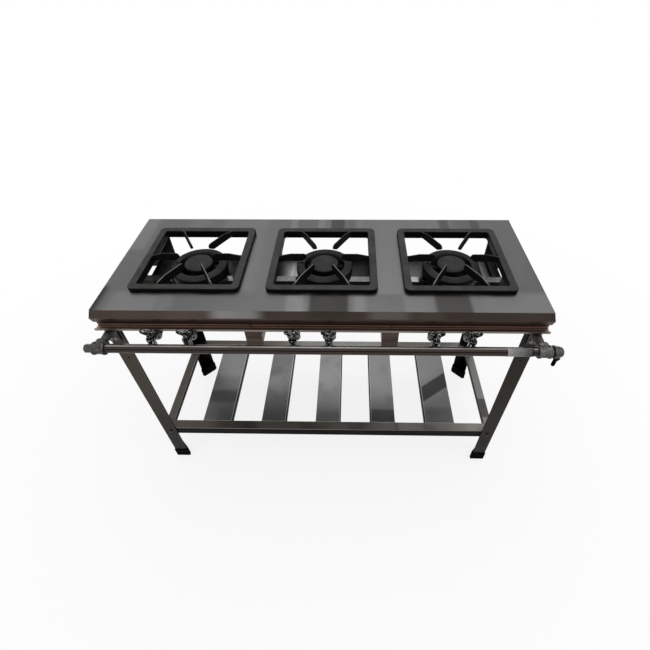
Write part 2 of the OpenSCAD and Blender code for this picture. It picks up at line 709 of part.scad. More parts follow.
module hose_nozzle() color(PLASTIC) placed() translate([nozzle_x, pipe_y, nozzle_top]) difference() {
  union() {
    translate([0, 0, -nozzle_nut_h]) cylinder(r = nozzle_nut_r, h = nozzle_nut_h, $fn = 6);
    translate([0, 0, -nozzle_nut_h - nozzle_length]) cylinder(r = nozzle_r, h = nozzle_length + 1);
  }
  translate([0, 0, -nozzle_nut_h - nozzle_length - 1])
    cylinder(r = nozzle_r - 2, h = nozzle_nut_h + nozzle_length + 2);
}

module tap_body(n) color(CHROME) placed() translate([tap_x(n), tap_y, 0]) difference() {
  union() {
    translate([0, 0, tap_low]) cylinder(r = tap_r, h = tap_high - tap_low);
    translate([0, 0, tap_low - 4]) cylinder(r = tap_r - 3, h = 5, $fn = 6);
    translate([0, -tap_r - 1 - pipe_wall, pipe_z]) rod_y(port_r, tap_r);
    translate([0, 0, pipe_z]) rod_y(outlet_r, tap_r + outlet_l);
  }
  translate([0, 0, tap_low + 3]) cylinder(r = stem_r + stem_clear, h = tap_high - tap_low);
  translate([0, -tap_r - pipe_wall - 2, pipe_z]) rod_y(2, 2 * tap_r + outlet_l + pipe_wall + 4);
}

// The butterfly handle with its plug stem; the stem's cross bore lies across the gas way when closed.
module tap_handle(n) color(CHROME) placed() translate([tap_x(n), tap_y, 0]) difference() {
  union() {
    translate([0, 0, tap_low + 3.5]) cylinder(r = stem_r, h = wing_low - tap_low);
    translate([0, 0, tap_high + 1]) cylinder(r = hub_r, h = wing_low + 3 - tap_high);
    along_y(wing_t) {
      for (x = [-1, 1]) translate([x * (wing_r - lobe_r), wing_low + wing_h - lobe_r]) circle(lobe_r);
      translate([-wing_r * 0.6, wing_low]) square([wing_r * 1.2, wing_h * 0.6]);
    }
  }
  translate([-stem_r - 1, 0, pipe_z]) rod_x(2, 2 * stem_r + 2);
}

module gas_jets() color(BRASS) placed() for (n = [1:6])
  translate([tap_x(n), outlet_back, pipe_z]) difference() {
    union() {
      rod_y(jet_r + 1.5, 4, $fn = 6);
      rod_y(jet_r, mouth_y + 8 - outlet_back);
    }
    translate([0, -1, 0]) rod_y(1, mouth_y + 10 - outlet_back);
  }

module air_shutters() color(GALVANISED) placed() for (n = [1:6])
  translate([tap_x(n), mouth_y - shutter_t, pipe_z]) difference() {
    rod_y(mouth_r, shutter_t);
    translate([0, -1, 0]) rod_y(jet_r + slip, shutter_t + 2);
    for (a = [45:90:315]) rotate([0, a, 0]) translate([(mouth_r + jet_r) / 2, -1, 0])
      rod_y(air_hole_r, shutter_t + 2);
  }

// ---- fasteners ----

// Bolts of the legs to the rails, of the cross members to the long rails, and of the palm plates.
module frame_bolts() color(GALVANISED) placed() {
  four_corners() {
    translate([leg_x - leg_face / 2, rail_out, leg_bolt_z]) rotate([-90, 0, 0]) bolt(rail_sheet + leg_sheet);
    translate([leg_x + rail_sheet, leg_y - leg_face / 2, leg_bolt_z]) rotate([0, 90, 0])
      bolt(rail_sheet + leg_sheet);
  }
  for (x = [-cross_x, cross_x], y = [-1, 1]) corner(1, y) translate([x, rail_out, cross_bolt_z])
    rotate([-90, 0, 0]) bolt(2 * rail_sheet);
  for (x = [-1, 1], side = [-1, 1])
    translate([side * palm_bolt_x + x * palm_bolt_dx, -leg_y - palm_t, palm_bolt_z])
      rotate([90, 0, 0]) bolt(palm_t + leg_sheet);
}

module shelf_bolts() color(GALVANISED) placed() four_corners()
  translate([leg_x - leg_face / 2, leg_y, shelf_bolt_z]) rotate([-90, 0, 0]) bolt(leg_sheet + shelf_sheet);

// Bolts up through the support into each burner's lugs, and the round-headed screw that holds each ring down.
module burner_bolts() color(GALVANISED) placed() each_burner() {
  for (side = [-1, 1]) translate(lug_place(side) - [0, 0, rail_sheet]) mirror([0, 0, 1]) {
    cylinder(r = bolt_head_r, h = bolt_head_h, $fn = 6);
    translate([0, 0, 1 - lug_depth]) cylinder(r = bolt_r - slip / 2, h = lug_depth);
  }
  translate(ring_screw + [0, 0, ring_crest - recess_depth]) difference() {
    union() {
      cylinder(r = screw_head_r, h = screw_head_h);
      translate([0, 0, -screw_l]) cylinder(r = bolt_r - slip / 2, h = screw_l + 1);
    }
    translate([0, 0, screw_head_h]) cube([2 * screw_head_r + 1, 1.2, screw_head_h], center = true);
  }
}

// ---- the stand ----

top_panel();
frame_front_rail();
frame_back_rail();
frame_left_rail();
frame_right_rail();
cross_member_left();
cross_member_right();
burner_support();
leg_front_left();
leg_front_right();
leg_back_left();
leg_back_right();
foot_caps();
shelf_front_rail();
shelf_back_rail();
shelf_left_rail();
shelf_right_rail();
slat(1);  // shelf_slat_1
slat(2);  // shelf_slat_2
slat(3);  // shelf_slat_3
slat(4);  // shelf_slat_4
slat(5);  // shelf_slat_5
grate(-1);  // grate_left
grate(0);  // grate_middle
grate(1);  // grate_right
burner_body(-1);  // burner_body_left
burner_body(0);  // burner_body_middle
burner_body(1);  // burner_body_right
burner_ring(-1);  // burner_ring_left
burner_ring(0);  // burner_ring_middle
burner_ring(1);  // burner_ring_right
burner_cap(-1);  // burner_cap_left
burner_cap(0);  // burner_cap_middle
burner_cap(1);  // burner_cap_right
manifold_pipe();
tee_left();
tee_right();
side_pipe_left();
side_pipe_right();
end_plug();
inlet_nipple();
inlet_elbow();
hose_nozzle();
tap_body(1);  // tap_body_1
tap_body(2);  // tap_body_2
tap_body(3);  // tap_body_3
tap_body(4);  // tap_body_4
tap_body(5);  // tap_body_5
tap_body(6);  // tap_body_6
tap_handle(1);  // tap_handle_1
tap_handle(2);  // tap_handle_2
tap_handle(3);  // tap_handle_3
tap_handle(4);  // tap_handle_4
tap_handle(5);  // tap_handle_5
tap_handle(6);  // tap_handle_6
gas_jets();
air_shutters();
frame_bolts();
shelf_bolts();
burner_bolts();
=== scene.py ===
"""Dresses a three-burner gas stand: brushed sheet steel, cast-iron grates and double burners, a gas pipe with
six butterfly taps, and a slatted shelf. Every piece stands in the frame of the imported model, in metres."""

import logging
import math
from collections.abc import Callable, Iterator, Sequence
from contextlib import contextmanager
from dataclasses import dataclass
from enum import Enum
from typing import Any

import bmesh
import bpy
from mathutils import Matrix, Vector


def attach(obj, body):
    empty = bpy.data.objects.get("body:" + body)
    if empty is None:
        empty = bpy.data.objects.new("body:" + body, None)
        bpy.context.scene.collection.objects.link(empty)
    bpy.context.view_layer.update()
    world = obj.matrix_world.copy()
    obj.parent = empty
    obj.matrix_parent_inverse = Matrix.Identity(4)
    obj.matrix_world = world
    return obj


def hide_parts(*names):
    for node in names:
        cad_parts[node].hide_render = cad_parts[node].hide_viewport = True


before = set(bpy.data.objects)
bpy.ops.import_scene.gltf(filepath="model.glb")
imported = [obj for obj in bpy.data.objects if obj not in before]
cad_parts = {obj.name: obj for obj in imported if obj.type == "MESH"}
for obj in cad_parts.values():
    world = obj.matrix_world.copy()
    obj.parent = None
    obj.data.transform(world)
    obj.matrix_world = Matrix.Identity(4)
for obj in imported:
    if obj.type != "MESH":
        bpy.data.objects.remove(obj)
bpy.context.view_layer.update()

LOG = logging.getLogger("gas_stand")
MM = 0.001
# Sizes are millimetres from the point on the floor under the middle of the top. In the frame it lies here.
TOP_MIDDLE = Vector((-5.35, 31.25, 0.0)) * MM
SIDES = {"left": -370.0, "middle": 0.0, "right": 370.0}
TOP_HEIGHT = 770.0
PIPE_Y = -280.0
PIPE_Z = 690.0
TAP_Y = -256.0
TAP_X = (-442.0, -348.0, -72.0, 22.0, 298.0, 392.0)
DOUBLED = 2e-6  # corners closer than this many metres are one
SAME_POINT = 1e-5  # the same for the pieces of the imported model
FLAT = 0.5  # faces that meet at fewer degrees are one
FOLDED = 40.0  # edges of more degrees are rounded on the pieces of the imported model
SHARP = 50.0  # edges of more degrees are rounded on new pieces
WHOLE_TURN = 360.0

Profile = Sequence[tuple[float, float]]
Span = tuple[float, float]
Triple = tuple[float, float, float]
Colour = tuple[float, float, float, float]
Piece = bpy.types.Object
Node = bpy.types.Node
Socket = bpy.types.NodeSocket


def grey(value: float, warmth: float = 0.0) -> Colour:
    """A grey in linear light, with a little red added and blue taken away by warmth."""
    return (value * (1 + warmth), value, value * (1 - warmth), 1.0)


def at(x: float, y: float, z: float) -> Vector:
    """A point in the model's frame, from millimetres around the middle of the top."""
    return Vector((x, y, z)) * MM + TOP_MIDDLE


# ---- modelling ----


class Axis(Enum):
    """The axis that a piece is turned about, with the direction from which its profile starts."""

    X = (Vector((1, 0, 0)), Vector((0, 0, 1)))
    Y = (Vector((0, 1, 0)), Vector((0, 0, 1)))
    Z = (Vector((0, 0, 1)), Vector((1, 0, 0)))

    @property
    def along(self) -> Vector:
        """The direction of the axis."""
        return self.value[0]

    @property
    def out(self) -> Vector:
        """The direction in which radii are measured."""
        return self.value[1]


class Part(Enum):
    """What a selection picks in edit mode."""

    CORNERS = "VERT"
    EDGES = "EDGE"


def clear_selection() -> None:
    """Deselects every object."""
    for piece in list(bpy.context.selected_objects):
        piece.select_set(False)


def take(piece: Piece) -> None:
    """Makes a piece the only selected and active one.

    Args:
        piece: The piece.
    """
    clear_selection()
    piece.select_set(True)
    bpy.context.view_layer.objects.active = piece


@contextmanager
def editing(piece: Piece) -> Iterator[None]:
    """Opens a piece in edit mode with everything selected, and closes it afterwards.

    Args:
        piece: The mesh object to edit.
    """
    take(piece)
    bpy.ops.object.mode_set(mode="EDIT")
    bpy.ops.mesh.select_mode(type="VERT")
    bpy.ops.mesh.select_all(action="SELECT")
    yield
    bpy.ops.object.mode_set(mode="OBJECT")


def choose(part: Part, test: Callable[[Vector, Vector], bool]) -> None:
    """Selects the parts of the edited mesh that pass a test, and nothing else.

    Args:
        part: Whether corners or edges are picked.
        test: Gets a part's middle in millimetres around the middle of the top, and a corner's normal or an
            edge's direction.
    """
    bpy.ops.mesh.select_mode(type=part.value)
    bpy.ops.mesh.select_all(action="DESELECT")
    mesh = bpy.context.edit_object.data
    shape = bmesh.from_edit_mesh(mesh)
    shape.normal_update()
    if part is Part.CORNERS:
        parts = [(v, v.co, v.normal) for v in shape.verts]
    else:
        parts = [(e, (e.verts[0].co + e.verts[1].co) / 2, (e.verts[1].co - e.verts[0].co).normalized())
                 for e in shape.edges]
    for item, middle, direction in parts:
        if test((middle - TOP_MIDDLE) / MM, direction):
            item.select_set(True)
    shape.select_flush_mode()
    bmesh.update_edit_mesh(mesh)


def settle(name: str) -> Piece:
    """Names the piece just added and puts its place into its mesh.

    Args:
        name: The piece's name.

    Returns:
        The piece, standing at the origin.
    """
    piece = bpy.context.object
    take(piece)
    bpy.ops.object.transform_apply(location=True, rotation=True, scale=True)
    piece.name = piece.data.name = name
    return piece


def mend(piece: Piece) -> Piece:
    """Merges doubled corners and turns all faces outwards.

    Args:
        piece: The piece.

    Returns:
        The same piece.
    """
    with editing(piece):
        bpy.ops.mesh.remove_doubles(threshold=DOUBLED)
        bpy.ops.mesh.select_all(action="SELECT")
        bpy.ops.mesh.normals_make_consistent(inside=False)
    return piece


def drawn(name: str, points: Sequence[Vector], filled: bool = False) -> Piece:
    """Draws a line by extruding one corner from point to point.

    Args:
        name: The piece's name.
        points: The places of the corners.
        filled: Whether the line is closed and gets a face.

    Returns:
        The drawn piece.
    """
    clear_selection()
    bpy.ops.mesh.primitive_plane_add(size=MM, location=points[0])
    piece = settle(name)
    with editing(piece):
        bpy.ops.mesh.merge(type="CENTER")
        loop = list(points) + ([points[0]] if filled else [])
        for before, after in zip(loop, loop[1:]):
            bpy.ops.mesh.extrude_region_move(TRANSFORM_OT_translate={"value": after - before})
        if filled:
            bpy.ops.mesh.select_all(action="SELECT")
            bpy.ops.mesh.remove_doubles(threshold=DOUBLED)
            bpy.ops.mesh.select_all(action="SELECT")
            bpy.ops.mesh.edge_face_add()
    return piece


def turned(name: str, centre: Vector, axis: Axis, profile: Profile, steps: int = 40,
           sweep: float = WHOLE_TURN, start: float = 0.0, closed: bool = False) -> Piece:
    """Turns a profile about an axis.

    Args:
        name: The piece's name.
        centre: The point of the axis that lengths along it are measured from.
        axis: The axis.
        profile: Radius and length along the axis of each point, in millimetres.
        steps: How many steps the turn has.
        sweep: The angle of the turn in degrees.
        start: The angle in degrees at which the profile is drawn.
        closed: Whether the profile is a closed outline.

    Returns:
        The turned piece.
    """
    out = Matrix.Rotation(math.radians(start), 3, axis.along) @ axis.out
    points = [centre + (axis.along * length + out * radius) * MM for radius, length in profile]
    whole = sweep >= WHOLE_TURN
    if closed and whole:
        points.append(points[0])
    piece = drawn(name, points, filled=closed and not whole)
    with editing(piece):
        bpy.ops.mesh.spin(steps=steps, angle=math.radians(sweep), center=centre, axis=axis.along)
    return mend(piece)


def prism(name: str, outline: Sequence[Vector], depth: Vector) -> Piece:
    """Extrudes a closed outline.

    Args:
        name: The piece's name.
        outline: The corners of the outline, in order.
        depth: The move that the face is extruded by.

    Returns:
        The solid piece.
    """
    piece = drawn(name, outline, filled=True)
    with editing(piece):
        bpy.ops.mesh.extrude_region_move(TRANSFORM_OT_translate={"value": depth})
    return mend(piece)


def hexagon(name: str, low: Vector, radius: float, length: float, chamfer: float) -> Piece:
    """An upright hexagonal bar with softened ends.

    Args:
        name: The piece's name.
        low: The middle of its lower end.
        radius: Distance of its corners from its axis, in millimetres.
        length: Length in millimetres.
        chamfer: Width of the softened edges in millimetres.

    Returns:
        The bar.
    """
    clear_selection()
    bpy.ops.mesh.primitive_cylinder_add(vertices=6, radius=radius * MM, depth=length * MM,
                                        location=low + Axis.Z.along * (length / 2 * MM))
    piece = settle(name)
    with editing(piece):
        choose(Part.EDGES, lambda middle, direction: abs(direction.z) < 0.5)
        bpy.ops.mesh.bevel(offset=chamfer * MM, segments=2, affect="EDGES")
    return mend(piece)


def block(name: str, middle: Vector, x: float, y: float, z: float) -> Piece:
    """A box around a point, with its sizes in millimetres.

    Args:
        name: The piece's name.
        middle: The middle of the box.
        x: Its size along X.
        y: Its size along Y.
        z: Its size along Z.

    Returns:
        The box.
    """
    clear_selection()
    bpy.ops.mesh.primitive_cube_add(size=1.0, location=middle, scale=(x * MM, y * MM, z * MM))
    return settle(name)


def with_modifier(piece: Piece, name: str, kind: str, **settings: Any) -> bpy.types.Modifier:
    """Adds a modifier with the given settings.

    Args:
        piece: The piece that gets it.
        name: The modifier's name.
        kind: The modifier's type.
        settings: The modifier's settings.

    Returns:
        The modifier.
    """
    modifier = piece.modifiers.new(name, kind)
    for setting, value in settings.items():
        setattr(modifier, setting, value)
    return modifier


def apply_modifier(piece: Piece, kind: str, **settings: Any) -> None:
    """Adds a modifier with the given settings and applies it."""
    take(piece)
    bpy.ops.object.modifier_apply(modifier=with_modifier(piece, kind.lower(), kind, **settings).name)


def soften(piece: Piece, width: float, segments: int = 2) -> None:
    """Rounds the sharp edges of a piece.

    Args:
        piece: The piece.
        width: Width of the rounding in millimetres.
        segments: Steps of the rounding.
    """
    apply_modifier(piece, "BEVEL", width=width * MM, segments=segments, limit_method="ANGLE",
                   angle_limit=math.radians(SHARP))


def smooth(piece: Piece, angle: float = 40.0) -> Piece:
    """Shades a piece smooth except at edges sharper than an angle in degrees.

    Args:
        piece: The piece.
        angle: The angle in degrees.

    Returns:
        The same piece.
    """
    take(piece)
    bpy.ops.object.shade_smooth_by_angle(angle=math.radians(angle))
    return piece


def joined(name: str, pieces: Sequence[Piece]) -> Piece:
    """Joins pieces into one.

    Args:
        name: The name of the result.
        pieces: The pieces to join.

    Returns:
        The joined piece.
    """
    take(pieces[0])
    for piece in pieces[1:]:
        piece.select_set(True)
    bpy.ops.object.join()
    result = bpy.context.view_layer.objects.active
    result.name = result.data.name = name
    return result


def duplicate(piece: Piece, name: str, place: Matrix | None = None) -> Piece:
    """Copies a piece with a mesh of its own.

    Args:
        piece: The piece to copy.
        name: The copy's name.
        place: How the copy's mesh is moved and turned.

    Returns:
        The copy.
    """
    copy = bpy.data.objects.new(name, piece.data.copy())
    copy.data.name = name
    if place is not None:
        copy.data.transform(place)
    bpy.context.scene.collection.objects.link(copy)
    return copy


def shifted(x: float, y: float = 0.0) -> Matrix:
    """A level move in millimetres."""
    return Matrix.Translation(Vector((x, y, 0.0)) * MM)


def turned_about(centre: Vector, degrees: float) -> Matrix:
    """A turn about the upright axis through a point."""
    return Matrix.Translation(centre) @ Matrix.Rotation(math.radians(degrees), 4, Axis.Z.along) \
        @ Matrix.Translation(-centre)


def discard(*pieces: Piece) -> None:
    """Throws away pieces that were built to cut or to be copied."""
    for piece in pieces:
        bpy.data.objects.remove(piece)


def cut(piece: Piece, cutter: Piece) -> Piece:
    """Cuts one piece out of another and throws the cutter away.

    Args:
        piece: The piece.
        cutter: The piece that is cut out of it.

    Returns:
        The piece that is left.
    """
    apply_modifier(piece, "BOOLEAN", object=cutter, operation="DIFFERENCE", solver="EXACT")
    discard(cutter)
    return piece


def as_cast(piece: Piece, voxel: float, passes: int, kept: float) -> Piece:
    """Gives a piece the rounded corners and filled joints of a casting.

    Args:
        piece: A piece of closed solids that may run into each other.
        voxel: Size of the new faces in millimetres.
        passes: How often the surface is smoothed.
        kept: The share of faces that is kept.

    Returns:
        The same piece.
    """
    apply_modifier(piece, "REMESH", mode="VOXEL", voxel_size=voxel * MM, adaptivity=0.0)
    apply_modifier(piece, "SMOOTH", factor=0.5, iterations=passes)
    apply_modifier(piece, "DECIMATE", ratio=kept)
    take(piece)
    bpy.ops.object.shade_smooth()
    return piece


# ---- finishes ----


class Board:
    """A node tree under construction, laid out from left to right."""

    COLUMN = 190
    ROW = 60

    def __init__(self, tree: bpy.types.NodeTree) -> None:
        """Starts on an empty tree."""
        self.tree = tree
        self.count = 0

    def add(self, kind: str, inputs: dict[str | int, Any] | None = None, **settings: Any) -> Node:
        """Adds a node.

        Args:
            kind: The node's type without the words ShaderNode.
            inputs: A value or a source socket for each named input.
            settings: The node's own settings.

        Returns:
            The node.
        """
        node = self.tree.nodes.new(kind if kind.startswith("Node") else f"ShaderNode{kind}")
        for name, value in settings.items():
            setattr(node, name, value)
        for key, value in (inputs or {}).items():
            if isinstance(value, Socket):
                self.tree.links.new(value, node.inputs[key])
            else:
                node.inputs[key].default_value = value
        node.location = (self.COLUMN * self.count, -self.ROW * (self.count % 3))
        self.count += 1
        return node

    def math(self, operation: str, first: Any, second: Any = 0.0) -> Socket:
        """The result of a sum on two values or sockets."""
        return self.add("Math", {0: first, 1: second}, operation=operation).outputs[0]

    def ramp(self, value: Any, low: float, high: float, to_low: float = 0.0, to_high: float = 1.0,
             soft: bool = True) -> Socket:
        """Maps a value from one range to another.

        Args:
            value: The socket to map.
            low: Start of its range.
            high: End of its range.
            to_low: Start of the new range.
            to_high: End of the new range.
            soft: Whether the ends of the ramp are eased.

        Returns:
            The mapped value.
        """
        return self.add("MapRange", {"Value": value, "From Min": low, "From Max": high, "To Min": to_low,
                                     "To Max": to_high},
                        interpolation_type="SMOOTHSTEP" if soft else "LINEAR").outputs["Result"]

    def mix(self, factor: Any, first: Any, second: Any) -> Socket:
        """Mixes two colours by a factor.

        Args:
            factor: How much of the second colour shows.
            first: The first colour.
            second: The second colour.

        Returns:
            The mixed colour.
        """
        node = self.add("Mix", data_type="RGBA")
        for socket, value in ((node.inputs[0], factor), (node.inputs[6], first), (node.inputs[7], second)):
            if isinstance(value, Socket):
                self.tree.links.new(value, socket)
            else:
                socket.default_value = value
        return node.outputs[2]

    def facing(self) -> Socket:
        """The direction that the surface faces, in the piece's own axes."""
        return self.add("TexCoord").outputs["Normal"]

    def parts(self, vector: Socket) -> tuple[Socket, ...]:
        """The X, Y and Z of a vector."""
        return tuple(self.add("SeparateXYZ", {0: vector}).outputs)

    def both(self, first: Any, second: Any) -> Socket:
        """The product of two masks."""
        return self.math("MULTIPLY", first, second)

    def within(self, value: Any, low: float, high: float, soft: float) -> Socket:
        """One between two limits, fading to nothing over a soft width outside them."""
        rise = self.ramp(value, low - soft, low)
        return self.both(rise, self.ramp(value, high, high + soft, 1.0, 0.0))

    def rise(self, value: Any, span: Span, to_low: float = 0.0, to_high: float = 1.0) -> Socket:
        """Maps a length over a span in millimetres to another range."""
        return self.ramp(value, span[0] * MM, span[1] * MM, to_low, to_high)

    def band(self, value: Any, span: Span, soft: float) -> Socket:
        """One where a length lies in a span, fading outside it; span and softness are millimetres."""
        return self.within(value, span[0] * MM, span[1] * MM, soft * MM)

    def weaker(self, value: Any, share: float) -> Socket:
        """A mask brought down to a share of its strength."""
        return self.ramp(value, 0.0, 1.0, 0.0, share)

    def weighted(self, first: Any, share: float, second: Any, other: float) -> Socket:
        """The sum of two values, each times its share."""
        return self.math("ADD", self.math("MULTIPLY", first, share), self.math("MULTIPLY", second, other))

    def from_middle(self, value: Any, middle: float) -> Socket:
        """How far a coordinate is from the middle of the top, to either side."""
        return self.math("ABSOLUTE", self.math("SUBTRACT", value, middle))

    def crossed(self, operation: str, first: Any, second: Any) -> Node:
        """A sum on two vectors."""
        return self.add("VectorMath", {0: first, 1: second}, operation=operation)

    def stretched(self, vector: Socket, scale: Triple) -> Socket:
        """Coordinates stretched by a scale along each axis."""
        return self.add("Mapping", {"Vector": vector, "Scale": scale}).outputs[0]

    def noise(self, vector: Socket, scale: Any, detail: float, roughness: float = 0.5,
              distortion: float = 0.0) -> Socket:
        """Noise over a vector, from nothing to one."""
        return self.add("TexNoise", {"Vector": vector, "Scale": scale, "Detail": detail,
                                     "Roughness": roughness, "Distortion": distortion}).outputs[0]


@dataclass(frozen=True)
class Effect:
    """A shader effect that several finishes share, built once as a node group."""

    name: str
    inputs: dict[str, float]
    outputs: tuple[str, ...]
    wiring: Callable[[Board, Node], dict[str, Socket]]

    def tree(self) -> bpy.types.NodeTree:
        """The node group, which is made when it is first asked for.

        Returns:
            The node group.
        """
        found = bpy.data.node_groups.get(self.name)
        if found:
            return found
        tree = bpy.data.node_groups.new(self.name, "ShaderNodeTree")
        tree.interface.new_socket("Vector", in_out="INPUT", socket_type="NodeSocketVector")
        for name, value in self.inputs.items():
            socket = tree.interface.new_socket(name, in_out="INPUT", socket_type="NodeSocketFloat")
            socket.default_value = value
        for name in self.outputs:
            tree.interface.new_socket(name, in_out="OUTPUT", socket_type="NodeSocketFloat")
        board = Board(tree)
        results = self.wiring(board, board.add("NodeGroupInput"))
        board.add("NodeGroupOutput", results)
        return tree

    def on(self, board: Board, vector: Socket, **values: float) -> Node:
        """Places the effect in a material.

        Args:
            board: The material's nodes.
            vector: The coordinates that it follows.
            values: Its other inputs.

        Returns:
            The group node.
        """
        node = board.add("Group", node_tree=self.tree())
        board.tree.links.new(vector, node.inputs["Vector"])
        for name, value in values.items():
            node.inputs[name].default_value = value
        return node


def wire_grain(board: Board, start: Node) -> dict[str, Socket]:
    """Fine scratches of a brushed surface, long in the direction in which the coordinates are stretched.

    Args:
        board: The nodes to add to.
        start: The group's input node.

    Returns:
        The group's outputs by name.
    """
    vector, fineness = start.outputs["Vector"], start.outputs["Fineness"]
    coarse = board.noise(vector, fineness, 3.0, 0.6)
    fine = board.noise(vector, board.math("MULTIPLY", fineness, 4.3), 2.0, 0.7)
    return {"Tone": board.ramp(board.weighted(coarse, 0.6, fine, 0.4), 0.36, 0.64), "Height": fine}


def wire_bands(board: Board, start: Node) -> dict[str, Socket]:
    """Broad soft bands, as sheet metal shows where it is not quite flat.

    Args:
        board: The nodes to add to.
        start: The group's input node.

    Returns:
        The group's outputs by name.
    """
    wide = board.noise(start.outputs["Vector"], 1.0, 1.5, 0.45, 0.25)
    softness = start.outputs["Softness"]
    mask = board.add("MapRange", {"Value": wide, "From Min": board.math("SUBTRACT", 0.5, softness),
                                  "From Max": board.math("ADD", 0.5, softness)},
                     interpolation_type="SMOOTHERSTEP")
    return {"Mask": mask.outputs["Result"]}


def wire_casting(board: Board, start: Node) -> dict[str, Socket]:
    """The grainy skin of a sand casting: small pits over slow swells.

    Args:
        board: The nodes to add to.
        start: The group's input node.

    Returns:
        The group's outputs by name.
    """
    vector, size = start.outputs["Vector"], start.outputs["Grain"]
    grain = board.noise(vector, size, 4.0, 0.65)
    pits = board.add("TexVoronoi", {"Vector": vector, "Scale": board.math("MULTIPLY", size, 0.55),
                                    "Smoothness": 0.6}, feature="SMOOTH_F1").outputs[0]
    swell = board.noise(vector, board.math("MULTIPLY", size, 0.05), 2.0)
    return {"Tone": board.ramp(board.weighted(swell, 0.7, grain, 0.3), 0.34, 0.66),
            "Height": board.weighted(grain, 0.6, pits, 0.5)}


def wire_wear_and_highlight(board: Board, start: Node) -> dict[str, Socket]:
    """Outer edges painted lighter in broken patches, partly as wear and partly as a painted highlight.

    Args:
        board: The nodes to add to.
        start: The group's input node.

    Returns:
        The group's outputs by name.
    """
    rubbed_and_highlit = board.ramp(board.add("NewGeometry").outputs["Pointiness"], 0.54, 0.64)
    broken = board.noise(start.outputs["Vector"], start.outputs["Patch"], 3.0)
    return {"Mask": board.both(rubbed_and_highlit, board.ramp(broken, 0.3, 0.6))}


def wire_smudges(board: Board, start: Node) -> dict[str, Socket]:
    """Wiped and fingered places that dull a shine unevenly."""
    wide = board.noise(start.outputs["Vector"], start.outputs["Size"], 4.0, 0.55, 0.6)
    return {"Mask": board.ramp(wide, 0.38, 0.66)}


def wire_spangle(board: Board, start: Node) -> dict[str, Socket]:
    """The crystal flakes of hot-dipped zinc.

    Args:
        board: The nodes to add to.
        start: The group's input node.

    Returns:
        The group's outputs by name.
    """
    flakes = board.add("TexVoronoi", {"Vector": start.outputs["Vector"], "Scale": start.outputs["Flakes"]})
    split = board.add("SeparateColor", {0: flakes.outputs["Color"]})
    return {"Tone": split.outputs[0], "Height": flakes.outputs["Distance"]}


def wire_top_light(board: Board, start: Node) -> dict[str, Socket]:
    """Faces that look upwards, which get painted light from above, while the others get painted shade."""
    upward = board.parts(start.outputs["Vector"])[2]
    return {"Mask": board.ramp(upward, start.outputs["Start"], start.outputs["Full"])}


def wire_painted_gleams(board: Board, start: Node) -> dict[str, Socket]:
    """Narrow painted highlights (gleams) that follow the curve of a small polished piece."""
    folds = board.noise(start.outputs["Vector"], start.outputs["Number"], 2.5, 0.6, 0.8)
    return {"Mask": board.ramp(folds, start.outputs["Start"], start.outputs["Full"])}


GRAIN = Effect("brushed_grain", {"Fineness": 1.0}, ("Tone", "Height"), wire_grain)
BANDS = Effect("soft_bands", {"Softness": 0.2}, ("Mask",), wire_bands)
CASTING = Effect("cast_skin", {"Grain": 500.0}, ("Tone", "Height"), wire_casting)
EDGE_WEAR_AND_HIGHLIGHT = Effect("worn_and_highlit_edges", {"Patch": 90.0}, ("Mask",), wire_wear_and_highlight)
SMUDGES = Effect("smudges", {"Size": 9.0}, ("Mask",), wire_smudges)
SPANGLE = Effect("zinc_spangle", {"Flakes": 240.0}, ("Tone", "Height"), wire_spangle)
TOP_LIGHT = Effect("painted_top_light", {"Start": 0.2, "Full": 0.9}, ("Mask",), wire_top_light)
PAINTED_GLEAMS = Effect("gleams", {"Number": 2.4, "Start": 0.5, "Full": 0.62}, ("Mask",), wire_painted_gleams)


@dataclass(frozen=True)
class Streak:
    """A soft-edged patch of painted reflection on a sheet, lighter or darker than it; on the slats some are
    painted shadows. Limits in millimetres around the middle of the top.
    """

    tone: float
    x: Span
    y: Span
    soft: float = 18.0
    warmth: float = 0.0
    lean: float = 0.0

    def over(self, board: Board, place: Sequence[Socket], colour: Any) -> Socket:
        """Lays the patch over a colour.

        Args:
            board: The material's nodes.
            place: The object coordinates, X and Y first.
            colour: The colour under the patch.

        Returns:
            The colour with the patch.
        """
        spots = place[:2]
        if self.lean:
            middle = sum(self.x) / 2 * MM + TOP_MIDDLE.x
            lift = board.math("MULTIPLY", board.math("SUBTRACT", place[0], middle), self.lean)
            spots = (place[0], board.math("SUBTRACT", place[1], lift))
        masks = [board.within(spot, limits[0] * MM + centre, limits[1] * MM + centre, self.soft * MM)
                 for spot, limits, centre in zip(spots, (self.x, self.y), TOP_MIDDLE)]
        return board.mix(board.both(*masks), colour, grey(self.tone, self.warmth))


def strips(y: Span, *rows: tuple[float, ...]) -> tuple[Streak, ...]:
    """Painted reflection streaks side by side in one strip of a sheet.

    Args:
        y: The strip's limits across the stand.
        rows: The tone, left end and right end of each streak, then its softness and warmth if they are given.

    Returns:
        The streaks.
    """
    return tuple(Streak(tone, (left, right), y, *more) for tone, left, right, *more in rows)


def streaked(board: Board, place: Sequence[Socket], colour: Any, streaks: Sequence[Streak]) -> Any:
    """A colour with painted reflection streaks laid over it, one after the other.

    Args:
        board: The nodes to add to.
        place: The object coordinates, X and Y first.
        colour: The colour under the streaks.
        streaks: The streaks, the lowest first.

    Returns:
        The colour with the streaks.
    """
    for streak in streaks:
        colour = streak.over(board, place, colour)
    return colour


